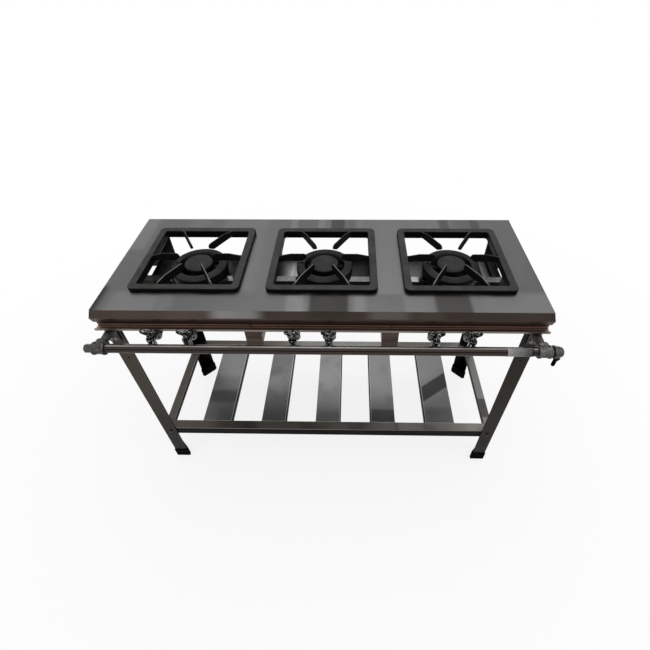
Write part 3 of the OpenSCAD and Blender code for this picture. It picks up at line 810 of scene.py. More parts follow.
@dataclass(frozen=True)
class Finish:
    """A surface finish and the record's slot that it belongs to.

    Spans of places are millimetres, and spans of directions run from -1 to 1.
    """

    name: str
    slot: str
    roughness: Span = (0.3, 0.42)
    smudge: float = 9.0

    def material(self) -> bpy.types.Material:
        """The material, which is made when it is first asked for.

        Returns:
            The material.
        """
        found = bpy.data.materials.get(self.name)
        if found:
            return found
        material = bpy.data.materials.new(self.name)
        material.use_nodes = True
        material.node_tree.nodes.clear()
        board = Board(material.node_tree)
        shader = self.wire(board, board.add("TexCoord").outputs["Object"])
        board.add("OutputMaterial", {"Surface": shader.outputs[0]})
        return material

    def wire(self, board: Board, place: Socket) -> Node:
        """Builds the finish from object coordinates and returns its shader."""
        raise NotImplementedError

    def smudged(self, board: Board, place: Socket) -> tuple[Socket, Socket]:
        """The mask of the smudges, and the roughness that follows it."""
        mask = SMUDGES.on(board, place, Size=self.smudge).outputs["Mask"]
        return mask, board.ramp(mask, 0.0, 1.0, *self.roughness, soft=False)

    @staticmethod
    def top_light(board: Board, start: float, full: float) -> Socket:
        """A mask of the faces that look up, for painted light from above and painted shade on the rest."""
        return TOP_LIGHT.on(board, board.facing(), Start=start, Full=full).outputs["Mask"]

    @staticmethod
    def banded(board: Board, place: Socket, stretch: Triple, softness: float) -> Socket:
        """A mask of soft bands over stretched coordinates."""
        return BANDS.on(board, board.stretched(place, stretch), Softness=softness).outputs["Mask"]

    @staticmethod
    def principled(board: Board, colour: Any, rough: Any, metallic: Any, height: Any, depth: float,
                   **more: float) -> Node:
        """The common end of every finish.

        Args:
            board: The material's nodes.
            colour: Base colour.
            rough: Roughness.
            metallic: How metallic it is.
            height: Height that the bump follows.
            depth: Depth of the bump in millimetres.
            more: Other inputs of the shader, by name with _ for a space.

        Returns:
            The shader node.
        """
        bump = board.add("Bump", {"Height": height, "Distance": depth * MM, "Strength": 1.0})
        inputs: dict[str | int, Any] = {"Base Color": colour, "Roughness": rough, "Metallic": metallic,
                                        "Normal": bump.outputs[0]}
        inputs.update({name.replace("_", " "): value for name, value in more.items()})
        return board.add("BsdfPrincipled", inputs)


@dataclass(frozen=True)
class SheetSteel(Finish):
    """Brushed sheet steel with soft bands across it and streaks of painted reflection."""

    pale: Colour = grey(0.2)
    deep: Colour = grey(0.16)
    scored: Colour = grey(0.02)
    scored_share: float = 0.05
    grain: Triple = (6.0, 260.0, 260.0)
    bands: Triple = (6.0, 0.7, 0.7)
    softness: float = 0.16
    scratch: float = 0.003
    shine: float = 0.03
    streaks: tuple[Streak, ...] = ()

    def wire(self, board: Board, place: Socket) -> Node:
        """Builds the finish from object coordinates.

        Args:
            board: The nodes to add to.
            place: The object coordinates.

        Returns:
            The shader node.
        """
        grain = GRAIN.on(board, board.stretched(place, self.grain), Fineness=1.0)
        scored = board.weaker(grain.outputs["Tone"], self.scored_share)
        colour = board.mix(scored, self.colour(board, place), self.scored)
        rough = self.smudged(board, place)[1]
        return self.principled(board, colour, rough, self.metal(board, place), grain.outputs["Height"],
                               self.scratch, Specular_IOR_Level=self.shine)

    def metal(self, board: Board, place: Socket) -> Any:
        """Where the steel shines: everywhere, unless a kind of steel has dull faces."""
        return 1.0

    def colour(self, board: Board, place: Socket) -> Socket:
        """The banded colour of the sheet, with its painted reflection streaks."""
        colour = board.mix(self.banded(board, place, self.bands, self.softness), self.deep, self.pale)
        return streaked(board, board.parts(place), colour, self.streaks)


@dataclass(frozen=True)
class FoldedTop(SheetSteel):
    """The top's sheet, whose leaning lip carries a darker painted reflection than its flat, with painted
    shade on its lowest band.
    """

    # Painted reflection: the lip's dark warm tones, its bands and its streaks.
    lip_reflection_pale: Colour = (0.049, 0.037, 0.032, 1.0)
    lip_reflection_deep: Colour = (0.036, 0.027, 0.0235, 1.0)
    lip_bands: Triple = (5.0, 0.9, 5.0)
    lip_softness: float = 0.22
    lip_streaks: tuple[Streak, ...] = ()
    # Painted reflection on the side lips, darker in front and paler behind.
    side_reflection_near: Colour = grey(0.045, 0.12)
    side_reflection_far: Colour = grey(0.13)
    side_span: Span = (-150.0, 160.0)
    sideways: Span = (0.5, 0.7)
    # Painted shade on the lowest band of the lip.
    lip_foot_shade: Colour = (0.05, 0.032, 0.025, 1.0)
    lip_foot_shade_span: Span = (TOP_HEIGHT - 19.0, TOP_HEIGHT - 16.5)
    fold_span: Span = (TOP_HEIGHT - 1.5, TOP_HEIGHT - 0.3)

    def colour(self, board: Board, place: Socket) -> Socket:
        """The banded flat above the fold, and the lip under it in painted reflection, with painted shade on
        its lowest band.

        Args:
            board: The nodes to add to.
            place: The object coordinates.

        Returns:
            The colour.
        """
        flat = SheetSteel.colour(self, board, place)
        x, y, height = board.parts(place)
        bands = self.banded(board, place, self.lip_bands, self.lip_softness)
        lip = streaked(board, (x, y), board.mix(bands, self.lip_reflection_deep, self.lip_reflection_pale), self.lip_streaks)
        sideways = board.math("ABSOLUTE", board.parts(board.facing())[0])
        side = board.mix(board.rise(y, self.side_span), self.side_reflection_near, self.side_reflection_far)
        lip = board.mix(board.ramp(sideways, *self.sideways), lip, side)
        lip = board.mix(board.rise(height, self.lip_foot_shade_span), self.lip_foot_shade, lip)
        return board.mix(board.rise(height, self.fold_span), lip, flat)


@dataclass(frozen=True)
class LedgeSteel(SheetSteel):
    """The frame rails' steel: dark webs, with painted highlights on the ledge, on its turned-up edge and
    along the web's foot.
    """

    # Painted highlights: the turned-up edge, the ledge and the line along the web's foot.
    edge: Colour = (0.266, 0.221, 0.203, 1.0)
    ledge: Colour = (0.26, 0.19, 0.16, 1.0)
    line: Colour = (0.38, 0.29, 0.25, 1.0)
    ledge_highlight_from: Span = (217.0, 218.0)
    edge_highlight_from: Span = (232.6, 233.0)
    foot: Span = (713.0, 716.0)
    foot_soft: float = 0.8
    web_face: Span = (215.5, 216.0)

    def colour(self, board: Board, place: Socket) -> Socket:
        """The dark web, and painted highlights along its foot, on the ledge and on its edge.

        Args:
            board: The nodes to add to.
            place: The object coordinates.

        Returns:
            The colour.
        """
        colour = SheetSteel.colour(self, board, place)
        _, y, height = board.parts(place)
        off_middle = board.from_middle(y, TOP_MIDDLE.y)
        foot = board.band(height, self.foot, self.foot_soft)
        colour = board.mix(board.both(foot, board.rise(off_middle, self.web_face)), colour, self.line)
        colour = board.mix(board.rise(off_middle, self.ledge_highlight_from), colour, self.ledge)
        return board.mix(board.rise(off_middle, self.edge_highlight_from), colour, self.edge)


@dataclass(frozen=True)
class LippedSteel(SheetSteel):
    """The burner support: its plate, its lips with a painted highlight above and painted shade low down, and
    their dark ends.
    """

    # Painted highlight on the lips, with painted reflection streaks over it.
    lip: Colour = grey(0.27)
    fleck: Colour = grey(0.06)
    fleck_share: float = 0.35
    flakes: float = 180.0
    # Painted shade on the lower part of the lips.
    under: Colour = grey(0.005, 0.1)
    ends: Colour = (0.04, 0.031, 0.025, 1.0)
    lip_streaks: tuple[Streak, ...] = ()
    bright_from: Span = (689.0, 691.0)
    ends_from: Span = (526.0, 528.0)
    up_from: Span = (0.3, 0.6)

    def colour(self, board: Board, place: Socket) -> Socket:
        """The banded plate, and its lips in two tones: a painted highlight above and painted shade low down.

        Args:
            board: The nodes to add to.
            place: The object coordinates.

        Returns:
            The colour.
        """
        plate = SheetSteel.colour(self, board, place)
        where = board.parts(place)
        flecks = board.weaker(SPANGLE.on(board, place, Flakes=self.flakes).outputs["Tone"], self.fleck_share)
        lip = streaked(board, where, board.mix(flecks, self.lip, self.fleck), self.lip_streaks)
        lip = board.mix(self.metal(board, place), self.under, lip)
        colour = board.mix(self.top_light(board, *self.up_from), lip, plate)
        ends = board.rise(board.from_middle(where[0], TOP_MIDDLE.x), self.ends_from)
        return board.mix(ends, colour, self.ends)

    def metal(self, board: Board, place: Socket) -> Any:
        """Metallic above the lower part of the lips, which is dull and in painted shade."""
        return board.rise(board.parts(place)[2], self.bright_from)


@dataclass(frozen=True)
class AngleSteel(SheetSteel):
    """The legs' steel, rolled outside and dull black inside the angle, where painted shade lies near the
    floor.
    """

    # Painted shade: inside the angle, under the top, and low down; the low-down colour also darkens the right
    # legs.
    inner: Colour = (0.004, 0.0032, 0.003, 1.0)
    shaded: Colour = (0.014, 0.012, 0.011, 1.0)
    low: Colour = (0.0098, 0.0074, 0.005, 1.0)
    low_down: Span = (120.0, 500.0)
    to_right: Span = (0.0, 300.0)
    near_floor: Span = (300.0, 600.0)
    shade_from: Span = (645.0, 668.0)
    low_share: Span = (0.85, 0.0)
    right_share: Span = (0.0, 0.8)
    floor_share: Span = (1.0, 0.6)
    outward: Triple = (1.0, 2.6, 0.0)
    turned_out: Span = (-0.06, 0.02)

    def colour(self, board: Board, place: Socket) -> Socket:
        """The outer faces, darker to the right, with painted shade low down and under the top, and the inner
        faces in painted shade.

        Args:
            board: The nodes to add to.
            place: The object coordinates.

        Returns:
            The colour.
        """
        x, _, height = board.parts(place)
        darker = board.math("MAXIMUM", board.rise(height, self.low_down, *self.low_share),
                            board.rise(x, self.to_right, *self.right_share))
        colour = board.mix(darker, SheetSteel.colour(self, board, place), self.low)
        colour = board.mix(board.rise(height, self.shade_from), colour, self.shaded)
        inside = board.both(board.math("SUBTRACT", 1.0, self.outside(board, place)),
                            board.rise(height, self.near_floor, *self.floor_share))
        return board.mix(inside, colour, self.inner)

    def metal(self, board: Board, place: Socket) -> Any:
        """Bright outside the angle, less so low down, and dull inside it."""
        return board.both(self.outside(board, place), board.rise(board.parts(place)[2], self.low_down, 0.5))

    def outside(self, board: Board, place: Socket) -> Socket:
        """The faces that look out of the angle.

        Args:
            board: The nodes to add to.
            place: The object coordinates.

        Returns:
            The mask.
        """
        flat = board.crossed("MULTIPLY", place, self.outward).outputs[0]
        outward = board.crossed("DOT_PRODUCT", flat, board.facing()).outputs["Value"]
        return board.ramp(outward, *self.turned_out)


@dataclass(frozen=True)
class ShelfSteel(SheetSteel):
    """The shelf rails' steel: soft tones on top, darker to the left, dull faces in painted shade and a
    painted highlight along a thin fold.
    """

    # Painted shade on the faces, and a painted highlight on the fold.
    face: Colour = (0.0018, 0.0013, 0.001, 1.0)
    left: Colour = (0.038, 0.033, 0.029, 1.0)
    fold: Colour = (0.3, 0.28, 0.25, 1.0)
    fold_span: Span = (188.6, 190.75)
    fold_soft: float = 0.3
    fold_lit: Span = (-100.0, 500.0)
    left_to: Span = (-550.0, 100.0)
    left_share: Span = (0.95, 0.0)
    lit_share: Span = (1.0, 0.35)
    up_from: Span = (0.3, 0.6)

    def colour(self, board: Board, place: Socket) -> Socket:
        """The top, the faces in painted shade and the painted highlight on the fold between them.

        Args:
            board: The nodes to add to.
            place: The object coordinates.

        Returns:
            The colour.
        """
        x, _, height = board.parts(place)
        above = SheetSteel.colour(self, board, place)
        above = board.mix(board.rise(x, self.left_to, *self.left_share), above, self.left)
        colour = board.mix(self.metal(board, place), self.face, above)
        fold = board.band(height, self.fold_span, self.fold_soft)
        return board.mix(board.both(fold, board.rise(x, self.fold_lit, *self.lit_share)), colour, self.fold)

    def metal(self, board: Board, place: Socket) -> Any:
        """Bright on top only."""
        return self.top_light(board, *self.up_from)


@dataclass(frozen=True)
class SlatSteel(SheetSteel):
    """The slats' steel: pale towards the back, darker in front, with painted shade on the turned-down sides.
    """

    front: Colour = grey(0.07)
    # Painted shade on the turned-down sides, and a painted highlight on the tilted folds.
    side: Colour = grey(0.003)
    fold: Colour = grey(0.42)
    pitch: float = 194.333
    half_width: float = 45.0
    front_span: Span = (-150.0, 40.0)
    inner_span: Span = (-130.0, -40.0)
    mirror_at: Span = (90.0, 100.0)
    front_share: Span = (0.72, 0.0)
    inner_share: Span = (1.0, 0.3)
    tilted: Span = (0.5, 0.95)
    tilted_soft: float = 0.02
    up_from: Span = (0.2, 0.4)
    # A painted highlight line, then a dark line, beside each slat's edge.
    lines: tuple[tuple[Colour, Span], ...] = ((grey(0.24), (-6.4, -4.2)), (grey(0.012), (-3.4, 1.0)))
    line_soft: float = 0.5

    def colour(self, board: Board, place: Socket) -> Socket:
        """The banded top, darker in front and along its inner side, painted highlights on its folds and
        beside its edges, and painted shade on its sides.

        Args:
            board: The nodes to add to.
            place: The object coordinates.

        Returns:
            The colour.
        """
        above = SheetSteel.colour(self, board, place)
        x, y, _ = board.parts(place)
        near = board.both(board.rise(y, self.front_span, *self.front_share),
                          board.rise(x, self.inner_span, *self.inner_share))
        above = board.mix(near, above, self.front)
        half = self.pitch / 2 * MM
        across = board.both(board.math("SUBTRACT", x, TOP_MIDDLE.x), board.rise(x, self.mirror_at, 1.0, -1.0))
        inward = board.math("SUBTRACT", across, self.half_width * MM)
        past_edge = board.add("Math", {0: inward, 1: half, 2: -half}, operation="WRAP").outputs[0]
        up = board.parts(board.facing())[2]
        above = board.mix(board.within(up, *self.tilted, self.tilted_soft), above, self.fold)
        for tone, line in self.lines:
            above = board.mix(board.band(past_edge, line, self.line_soft), above, tone)
        return board.mix(self.metal(board, place), self.side, above)

    def metal(self, board: Board, place: Socket) -> Any:
        """Bright on top and dull on the sides."""
        return self.top_light(board, *self.up_from)


@dataclass(frozen=True)
class CastIron(Finish):
    """Black cast iron with a sandy skin: greyer on faces that look up and darker on upright faces by painted
    light and painted shade, with its edges painted lighter in patches, partly as wear and partly as a painted
    highlight.
    """

    roughness: Span = (0.42, 0.62)
    smudge: float = 16.0
    pale: Colour = grey(0.045)
    deep: Colour = grey(0.03)
    # Painted shade on upright faces. Then: edges lighter as wear and painted highlight, painted light on
    # walls behind the middle, and a painted highlight on the fingers' ridge.
    shaded: Colour = grey(0.0035)
    rubbed_and_highlit: Colour = grey(0.075)
    rear_wall_light: Colour | None = None
    crest_highlight: Colour | None = None
    crest_highlight_from: Span = (783.0, 784.5)
    crest_highlight_fade: float = 20.0
    rear_fade: float = 30.0
    up_from: Span = (0.45, 0.92)
    ahead: Span = (-0.8, -0.2)
    patch: float = 70.0
    sand: float = 620.0
    skin: float = 0.12
    shine: float = 0.04

    def wire(self, board: Board, place: Socket) -> Node:
        """Builds the finish from object coordinates.

        Args:
            board: The nodes to add to.
            place: The object coordinates.

        Returns:
            The shader node.
        """
        skin = CASTING.on(board, place, Grain=self.sand)
        colour = board.mix(skin.outputs["Tone"], self.deep, self.pale)
        # Painted highlight along the ridge of the front half of the grate's fingers.
        if self.crest_highlight is not None:
            _, y, height = board.parts(place)
            before = board.ramp(y, TOP_MIDDLE.y - self.crest_highlight_fade * MM, TOP_MIDDLE.y, 1.0, 0.0)
            colour = board.mix(board.both(board.rise(height, self.crest_highlight_from), before), colour, self.crest_highlight)
        # Painted light on faces that look up, painted shade on upright faces.
        colour = board.mix(self.top_light(board, *self.up_from), self.walls(board, place), colour)
        # Edges painted lighter, partly as wear and partly as a painted highlight.
        colour = board.mix(EDGE_WEAR_AND_HIGHLIGHT.on(board, place, Patch=self.patch).outputs["Mask"], colour, self.rubbed_and_highlit)
        return self.principled(board, colour, self.smudged(board, place)[1], 0.0, skin.outputs["Height"],
                               self.skin, Specular_IOR_Level=self.shine)

    def walls(self, board: Board, place: Socket) -> Any:
        """The colour of upright faces, in painted shade, with painted light where they look forward from
        behind the middle.

        Args:
            board: The nodes to add to.
            place: The object coordinates.

        Returns:
            The colour.
        """
        if self.rear_wall_light is None:
            return self.shaded
        forward = board.ramp(board.parts(board.facing())[1], *self.ahead, 1.0, 0.0)
        behind = board.ramp(board.parts(place)[1], TOP_MIDDLE.y, TOP_MIDDLE.y + self.rear_fade * MM)
        return board.mix(board.both(forward, behind), self.shaded, self.rear_wall_light)


@dataclass(frozen=True)
class Zinc(Finish):
    """Galvanised or zinc-plated steel: flaky tones, dulled in places, with painted shade underneath."""

    roughness: Span = (0.3, 0.5)
    smudge: float = 38.0
    pale: Colour = grey(0.17, 0.02)
    deep: Colour = grey(0.1, 0.04)
    shaded: Colour = grey(0.022, 0.08)
    flakes: float = 240.0
    dulled: float = 0.4
    metal: float = 0.9
    depth: float = 0.03
    up_from: Span = (-0.5, 0.4)

    def wire(self, board: Board, place: Socket) -> Node:
        """Builds the finish from object coordinates.

        Args:
            board: The nodes to add to.
            place: The object coordinates.

        Returns:
            The shader node.
        """
        flakes = SPANGLE.on(board, place, Flakes=self.flakes)
        smudge, rough = self.smudged(board, place)
        colour = board.mix(flakes.outputs["Tone"], self.deep, self.pale)
        colour = board.mix(board.weaker(smudge, self.dulled), colour, self.deep)
        # Painted shade on faces that look down, fading out towards faces that look up.
        colour = board.mix(self.top_light(board, *self.up_from), self.shaded, colour)
        return self.principled(board, colour, rough, self.metal, flakes.outputs["Height"], self.depth)


@dataclass(frozen=True)
class Pipe(Finish):
    """Drawn steel pipe: a painted highlight along its top, brown in front, with a painted dark reflection
    line between.
    """

    roughness: Span = (0.24, 0.38)
    smudge: float = 20.0
    pale: Colour = grey(0.24, 0.05)
    soft: Colour = (0.046, 0.035, 0.031, 1.0)
    deep: Colour = (0.0042, 0.003, 0.0024, 1.0)
    scored: Colour = grey(0.01)
    grain: Triple = (3.0, 420.0, 420.0)
    bands: Triple = (5.0, 2.0, 2.0)
    # Painted highlight along the top, weaker to the right, and a painted dark reflection line in front.
    top_highlight: Span = (-0.22, 0.6)
    top_highlight_soft: float = 0.14
    up_from: Span = (0.0, 0.3)
    front_dark_reflection: Span = (0.5, 0.6)
    front_dark_reflection_soft: float = 0.05
    front_shine: float = 0.9
    ahead: Span = (-0.7, -0.6)
    softness: float = 0.25
    band_share: float = 0.5
    to_right: Span = (0.0, 250.0)
    right_share: Span = (0.0, 0.4)
    scored_share: float = 0.15
    scratch: float = 0.008
    shine: float = 0.08

    def wire(self, board: Board, place: Socket) -> Node:
        """Builds the finish from object coordinates.

        Args:
            board: The nodes to add to.
            place: The object coordinates.

        Returns:
            The shader node.
        """
        grain = GRAIN.on(board, board.stretched(place, self.grain), Fineness=1.0)
        _, y, z = board.parts(board.facing())
        top_highlight = board.both(board.within(y, *self.top_highlight, self.top_highlight_soft), board.ramp(z, *self.up_from))
        front_dark_reflection = board.both(board.within(z, *self.front_dark_reflection, self.front_dark_reflection_soft),
                                board.ramp(y, *self.ahead, 1.0, 0.0))
        bands = board.weaker(self.banded(board, place, self.bands, self.softness), self.band_share)
        right = board.rise(board.parts(place)[0], self.to_right, *self.right_share)
        pale = board.mix(right, board.mix(bands, self.pale, self.soft), self.soft)
        colour = board.mix(front_dark_reflection, self.soft, self.deep)
        colour = board.mix(top_highlight, colour, pale)
        colour = board.mix(board.weaker(grain.outputs["Tone"], self.scored_share), colour, self.scored)
        bright = board.math("MAXIMUM", top_highlight, board.both(front_dark_reflection, self.front_shine))
        return self.principled(board, colour, self.smudged(board, place)[1], bright, grain.outputs["Height"],
                               self.scratch, Specular_IOR_Level=self.shine)


@dataclass(frozen=True)
class Plated(Finish):
    """Chrome or brass: a smooth metal with narrow painted highlights (gleams) over a dark base and faint
    wiping marks.
    """

    roughness: Span = (0.1, 0.26)
    smudge: float = 70.0
    pale: Colour = grey(0.75)
    deep: Colour = grey(0.007)
    gleams: Triple = (2.6, 0.55, 0.64)
    spread: float = 60.0
    dulled: float = 0.35
    sand: float = 900.0
    skin: float = 0.012

    def wire(self, board: Board, place: Socket) -> Node:
        """Builds the finish from object coordinates.

        Args:
            board: The nodes to add to.
            place: The object coordinates.

        Returns:
            The shader node.
        """
        smudge, rough = self.smudged(board, place)
        skin = CASTING.on(board, place, Grain=self.sand)
        number, start, full = self.gleams
        spread = board.crossed("MULTIPLY", place, (self.spread,) * 3).outputs[0]
        curve = board.crossed("ADD", spread, board.facing()).outputs[0]
        gleam = PAINTED_GLEAMS.on(board, curve, Number=number, Start=start, Full=full)
        # Painted highlights over a dark base stand in for the metal's reflections.
        colour = board.mix(gleam.outputs["Mask"], self.deep, self.pale)
        colour = board.mix(board.weaker(smudge, self.dulled), colour, self.deep)
        return self.principled(board, colour, rough, 1.0, skin.outputs["Height"], self.skin)


@dataclass(frozen=True)
class Moulded(Finish):
    """Moulded plastic or printed film with a fine even grain."""

    roughness: Span = (0.5, 0.68)
    smudge: float = 45.0
    pale: Colour = grey(0.0012)
    deep: Colour = grey(0.0006)
    sand: float = 1100.0
    skin: float = 0.05
    shine: float = 0.01

    def wire(self, board: Board, place: Socket) -> Node:
        """Builds the finish from object coordinates.

        Args:
            board: The nodes to add to.
            place: The object coordinates.

        Returns:
            The shader node.
        """
        skin = CASTING.on(board, place, Grain=self.sand)
        smudge, rough = self.smudged(board, place)
        return self.principled(board, board.mix(smudge, self.deep, self.pale), rough, 0.0,
                               skin.outputs["Height"], self.skin, Specular_IOR_Level=self.shine)


# Limits of the strips of painted reflection across the stand, and of the slats along it.
TOP_FRONT, TOP_BACK, LIP_FRONT = (-230.0, -160.0), (160.0, 260.0), (-240.0, -218.0)
PLATE, PLATE_LIP = (-20.0, 120.0), (-20.0, 20.0)
RAIL_FRONT, RAIL_RIGHT = (-240.0, -150.0), (-150.0, -78.0)
SLAT_1, SLAT_3, SLAT_4, SLAT_5 = (-460.0, -340.0), (-55.0, 55.0), (145.0, 255.0), (340.0, 460.0)
TOP_REFLECTIONS = (
    *strips(TOP_FRONT, (0.145, -84, -52, 14), (0.036, -22, 64, 16, 0.04), (0.145, 92, 106, 10),
            (0.103, 126, 208, 14), (0.052, 304, 380, 16, 0.05), (0.15, -540, -440, 26), (0.13, 232, 262, 18),
            (0.105, -370, -110, 30), (0.145, 430, 600, 30)),
    *strips(TOP_BACK, (0.145, -112, -98, 8), (0.05, 18, 52, 10), (0.145, -24, -10, 6), (0.145, 100, 112, 10),
            (0.145, 280, 345, 14), (0.075, 366, 384, 12), (0.07, 462, 482, 8)),
    Streak(0.16, (-600, -560), (60, 260), 24), Streak(0.028, (-620, -588), (-260, -140), 26, 0.05))
LIP_REFLECTIONS = strips(LIP_FRONT, (0.125, -252, -178, 46, 0.03), (0.028, -6, 40, 60, 0.22),
                     (0.077, 150, 200, 50, 0.14), (0.044, 262, 300, 30, 0.22))
PLATE_REFLECTIONS = strips(PLATE, (0.23, -175, -75, 6), (0.3, -102, -96, 3), (0.024, 62, 175, 8),
                       (0.11, 250, 304, 8), (0.4, 474, 490, 4), (0.6, 502, 524, 3))
PLATE_LIP_REFLECTIONS = strips(PLATE_LIP, (0.02, -540, -484, 4), (0.02, -456, -296, 4), (0.02, -278, -250, 4),
                           (0.5, 250, 294, 6))
# Painted reflections and painted shadows on the slats.
SLAT_REFLECTIONS_AND_SHADOWS = (
    Streak(0.165, SLAT_1, (40, 210), 50), Streak(0.165, SLAT_5, (-105, 210), 20),
    Streak(0.165, SLAT_3, (-110, 210), 50), Streak(0.165, SLAT_4, (-110, 210), 40),
    Streak(0.07, SLAT_4, (-200, -132), 9), Streak(0.045, SLAT_5, (-50, 8), 10, lean=0.72),
    Streak(0.055, SLAT_1, (-90, -60), 26))
RAIL_REFLECTIONS = (*strips(RAIL_FRONT, (0.25, 256, 345, 14, 0.05), (0.17, 345, 530, 20, 0.07)),
                *strips(RAIL_RIGHT, (0.055, 520, 600, 8, 0.04)))
TOP_STEEL = FoldedTop("top_steel", "stainless", pale=grey(0.138), deep=grey(0.1), bands=(9.0, 0.6, 0.6),
                      softness=0.24, streaks=TOP_REFLECTIONS, lip_streaks=LIP_REFLECTIONS)
SUPPORT_STEEL = LippedSteel("support_steel", "stainless", pale=grey(0.15), deep=grey(0.022),
                            bands=(11.0, 1.5, 1.5), softness=0.14, streaks=PLATE_REFLECTIONS,
                            lip_streaks=PLATE_LIP_REFLECTIONS)
SLAT_STEEL = SlatSteel("slat_steel", "stainless", pale=grey(0.142), deep=grey(0.105), softness=0.2,
                       grain=(260.0, 6.0, 260.0), bands=(2.0, 6.0, 5.0), streaks=SLAT_REFLECTIONS_AND_SHADOWS)
FRAME_STEEL = LedgeSteel("rail_steel", "frame_steel", pale=(0.07, 0.05, 0.042, 1.0),
                         deep=(0.04, 0.027, 0.022, 1.0), bands=(4.0, 30.0, 60.0), softness=0.2)
LEG_STEEL = AngleSteel("leg_steel", "frame_steel", pale=(0.05, 0.041, 0.033, 1.0),
                       deep=(0.035, 0.028, 0.022, 1.0), grain=(260.0, 260.0, 6.0), bands=(12.0, 12.0, 3.0))
SHELF_STEEL = ShelfSteel("shelf_rail_steel", "frame_steel", pale=(0.163, 0.158, 0.15, 1.0),
                         deep=(0.076, 0.065, 0.055, 1.0), bands=(3.2, 3.0, 3.0), streaks=RAIL_REFLECTIONS)
# The grates carry a painted highlight on the fingers' ridge; the burners carry painted light on their walls
# behind the middle.
GRATE_IRON = CastIron("grate_iron", "cast_iron", pale=grey(0.052), deep=grey(0.036), crest_highlight=grey(0.17))
BURNER_IRON = CastIron("burner_iron", "cast_iron", pale=grey(0.041), deep=grey(0.027), rubbed_and_highlit=grey(0.065),
                       rear_wall_light=grey(0.034))
PIPE_STEEL = Pipe("pipe_steel", "pipework")
FITTING_ZINC = Zinc("fitting_zinc", "pipework", pale=grey(0.08, 0.04), deep=grey(0.037, 0.06))
PALE_FITTING = Zinc("pale_fitting", "pipework", pale=grey(0.13, 0.03), deep=grey(0.06, 0.05))
DARK_FITTING = Zinc("dark_fitting", "pipework", pale=grey(0.1, 0.06), deep=grey(0.04, 0.08))
BOLT_ZINC = Zinc("bolt_zinc", "zinc", pale=grey(0.3, 0.05), deep=grey(0.16, 0.08), flakes=500.0)
DULL_BOLT_ZINC = Zinc("dull_bolt_zinc", "zinc", pale=grey(0.06, 0.1), deep=grey(0.02, 0.12), flakes=500.0)
SHUTTER_ZINC = Zinc("shutter_zinc", "zinc", pale=grey(0.3, 0.02), deep=grey(0.2, 0.03), flakes=160.0)
TAP_CHROME = Plated("tap_chrome", "chrome")
JET_BRASS = Plated("jet_brass", "brass", pale=(0.56, 0.38, 0.14, 1.0), deep=(0.2, 0.12, 0.04, 1.0))
BLACK_PLASTIC = Moulded("moulded_black", "black_plastic")
LABEL_FILM = Moulded("blank_label", "pipework", pale=grey(0.32), deep=grey(0.26), roughness=(0.3, 0.42),
                     skin=0.01, shine=0.2)


# ---- sub-assemblies ----


class SubAssembly:
    """Pieces of the stand that are built and dressed together."""

    def build(self) -> None:
        """Builds and dresses the pieces."""
        raise NotImplementedError

    @staticmethod
    def keep(node: str, finish: Finish, round_off: float = 0.0, segments: int = 2) -> None:
        """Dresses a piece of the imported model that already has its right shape.

        Args:
            node: The piece's name.
            finish: Its finish.
            round_off: Width in millimetres of the rounding of its sharp edges.
            segments: Steps of that rounding.
        """
        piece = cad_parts[node]
        piece.data.materials.clear()
        piece.data.materials.append(finish.material())
        if round_off:
            with_modifier(piece, "weld", "WELD", merge_threshold=SAME_POINT)
            with_modifier(piece, "whole_flats", "DECIMATE", decimate_type="DISSOLVE",
                          angle_limit=math.radians(FLAT))
            with_modifier(piece, "rounded_edges", "BEVEL", width=round_off * MM, segments=segments,
                          limit_method="ANGLE", angle_limit=math.radians(FOLDED), use_clamp_overlap=True)
        LOG.info("%s keeps its shape, in %s", node, finish.name)

    @staticmethod
    def show(piece: Piece, body: str, finish: Finish, *nodes: str) -> Piece:
        """Dresses a new piece and lets it ride on its body.

        Args:
            piece: The new piece.
            body: The body that it moves with.
            finish: Its finish.
            nodes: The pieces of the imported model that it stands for.

        Returns:
            The same piece.
        """
        piece.data.materials.clear()
        piece.data.materials.append(finish.material())
        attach(piece, body)
        if nodes:
            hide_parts(*nodes)
        LOG.info("%s rides on %s, in %s", piece.name, body, finish.name)
        return piece


@dataclass
class TopAndFrame(SubAssembly):
    """The top with its lip, the rails under it, the cross members and the burner support."""

    fold: float = 1.2
    rail_fold: float = 0.8

    def build(self) -> None:
        """Dresses the sheet-metal pieces."""
        self.keep("top_panel", TOP_STEEL, self.fold, 3)
        for side in ("front", "back", "left", "right"):
            self.keep(f"frame_{side}_rail", FRAME_STEEL, self.rail_fold)
        for side in ("left", "right"):
            self.keep(f"cross_member_{side}", FRAME_STEEL, self.rail_fold)
        self.keep("burner_support", SUPPORT_STEEL, self.rail_fold)


@dataclass
class Legs(SubAssembly):
    """The four angle legs on their plastic foot caps."""

    fold: float = 1.0
    foot_round: float = 1.5

    def build(self) -> None:
        """Dresses legs and feet."""
        for end in ("front", "back"):
            for side in ("left", "right"):
                self.keep(f"leg_{end}_{side}", LEG_STEEL, self.fold)
        self.keep("foot_caps", BLACK_PLASTIC, self.foot_round, 3)


@dataclass
class Shelf(SubAssembly):
    """The shelf's rails and its five folded slats."""

    fold: float = 0.7
    slats: int = 5

    def build(self) -> None:
        """Dresses rails and slats."""
        for side in ("front", "back", "left", "right"):
            self.keep(f"shelf_{side}_rail", SHELF_STEEL, self.fold)
        for number in range(1, self.slats + 1):
            self.keep(f"shelf_slat_{number}", SLAT_STEEL, self.fold)


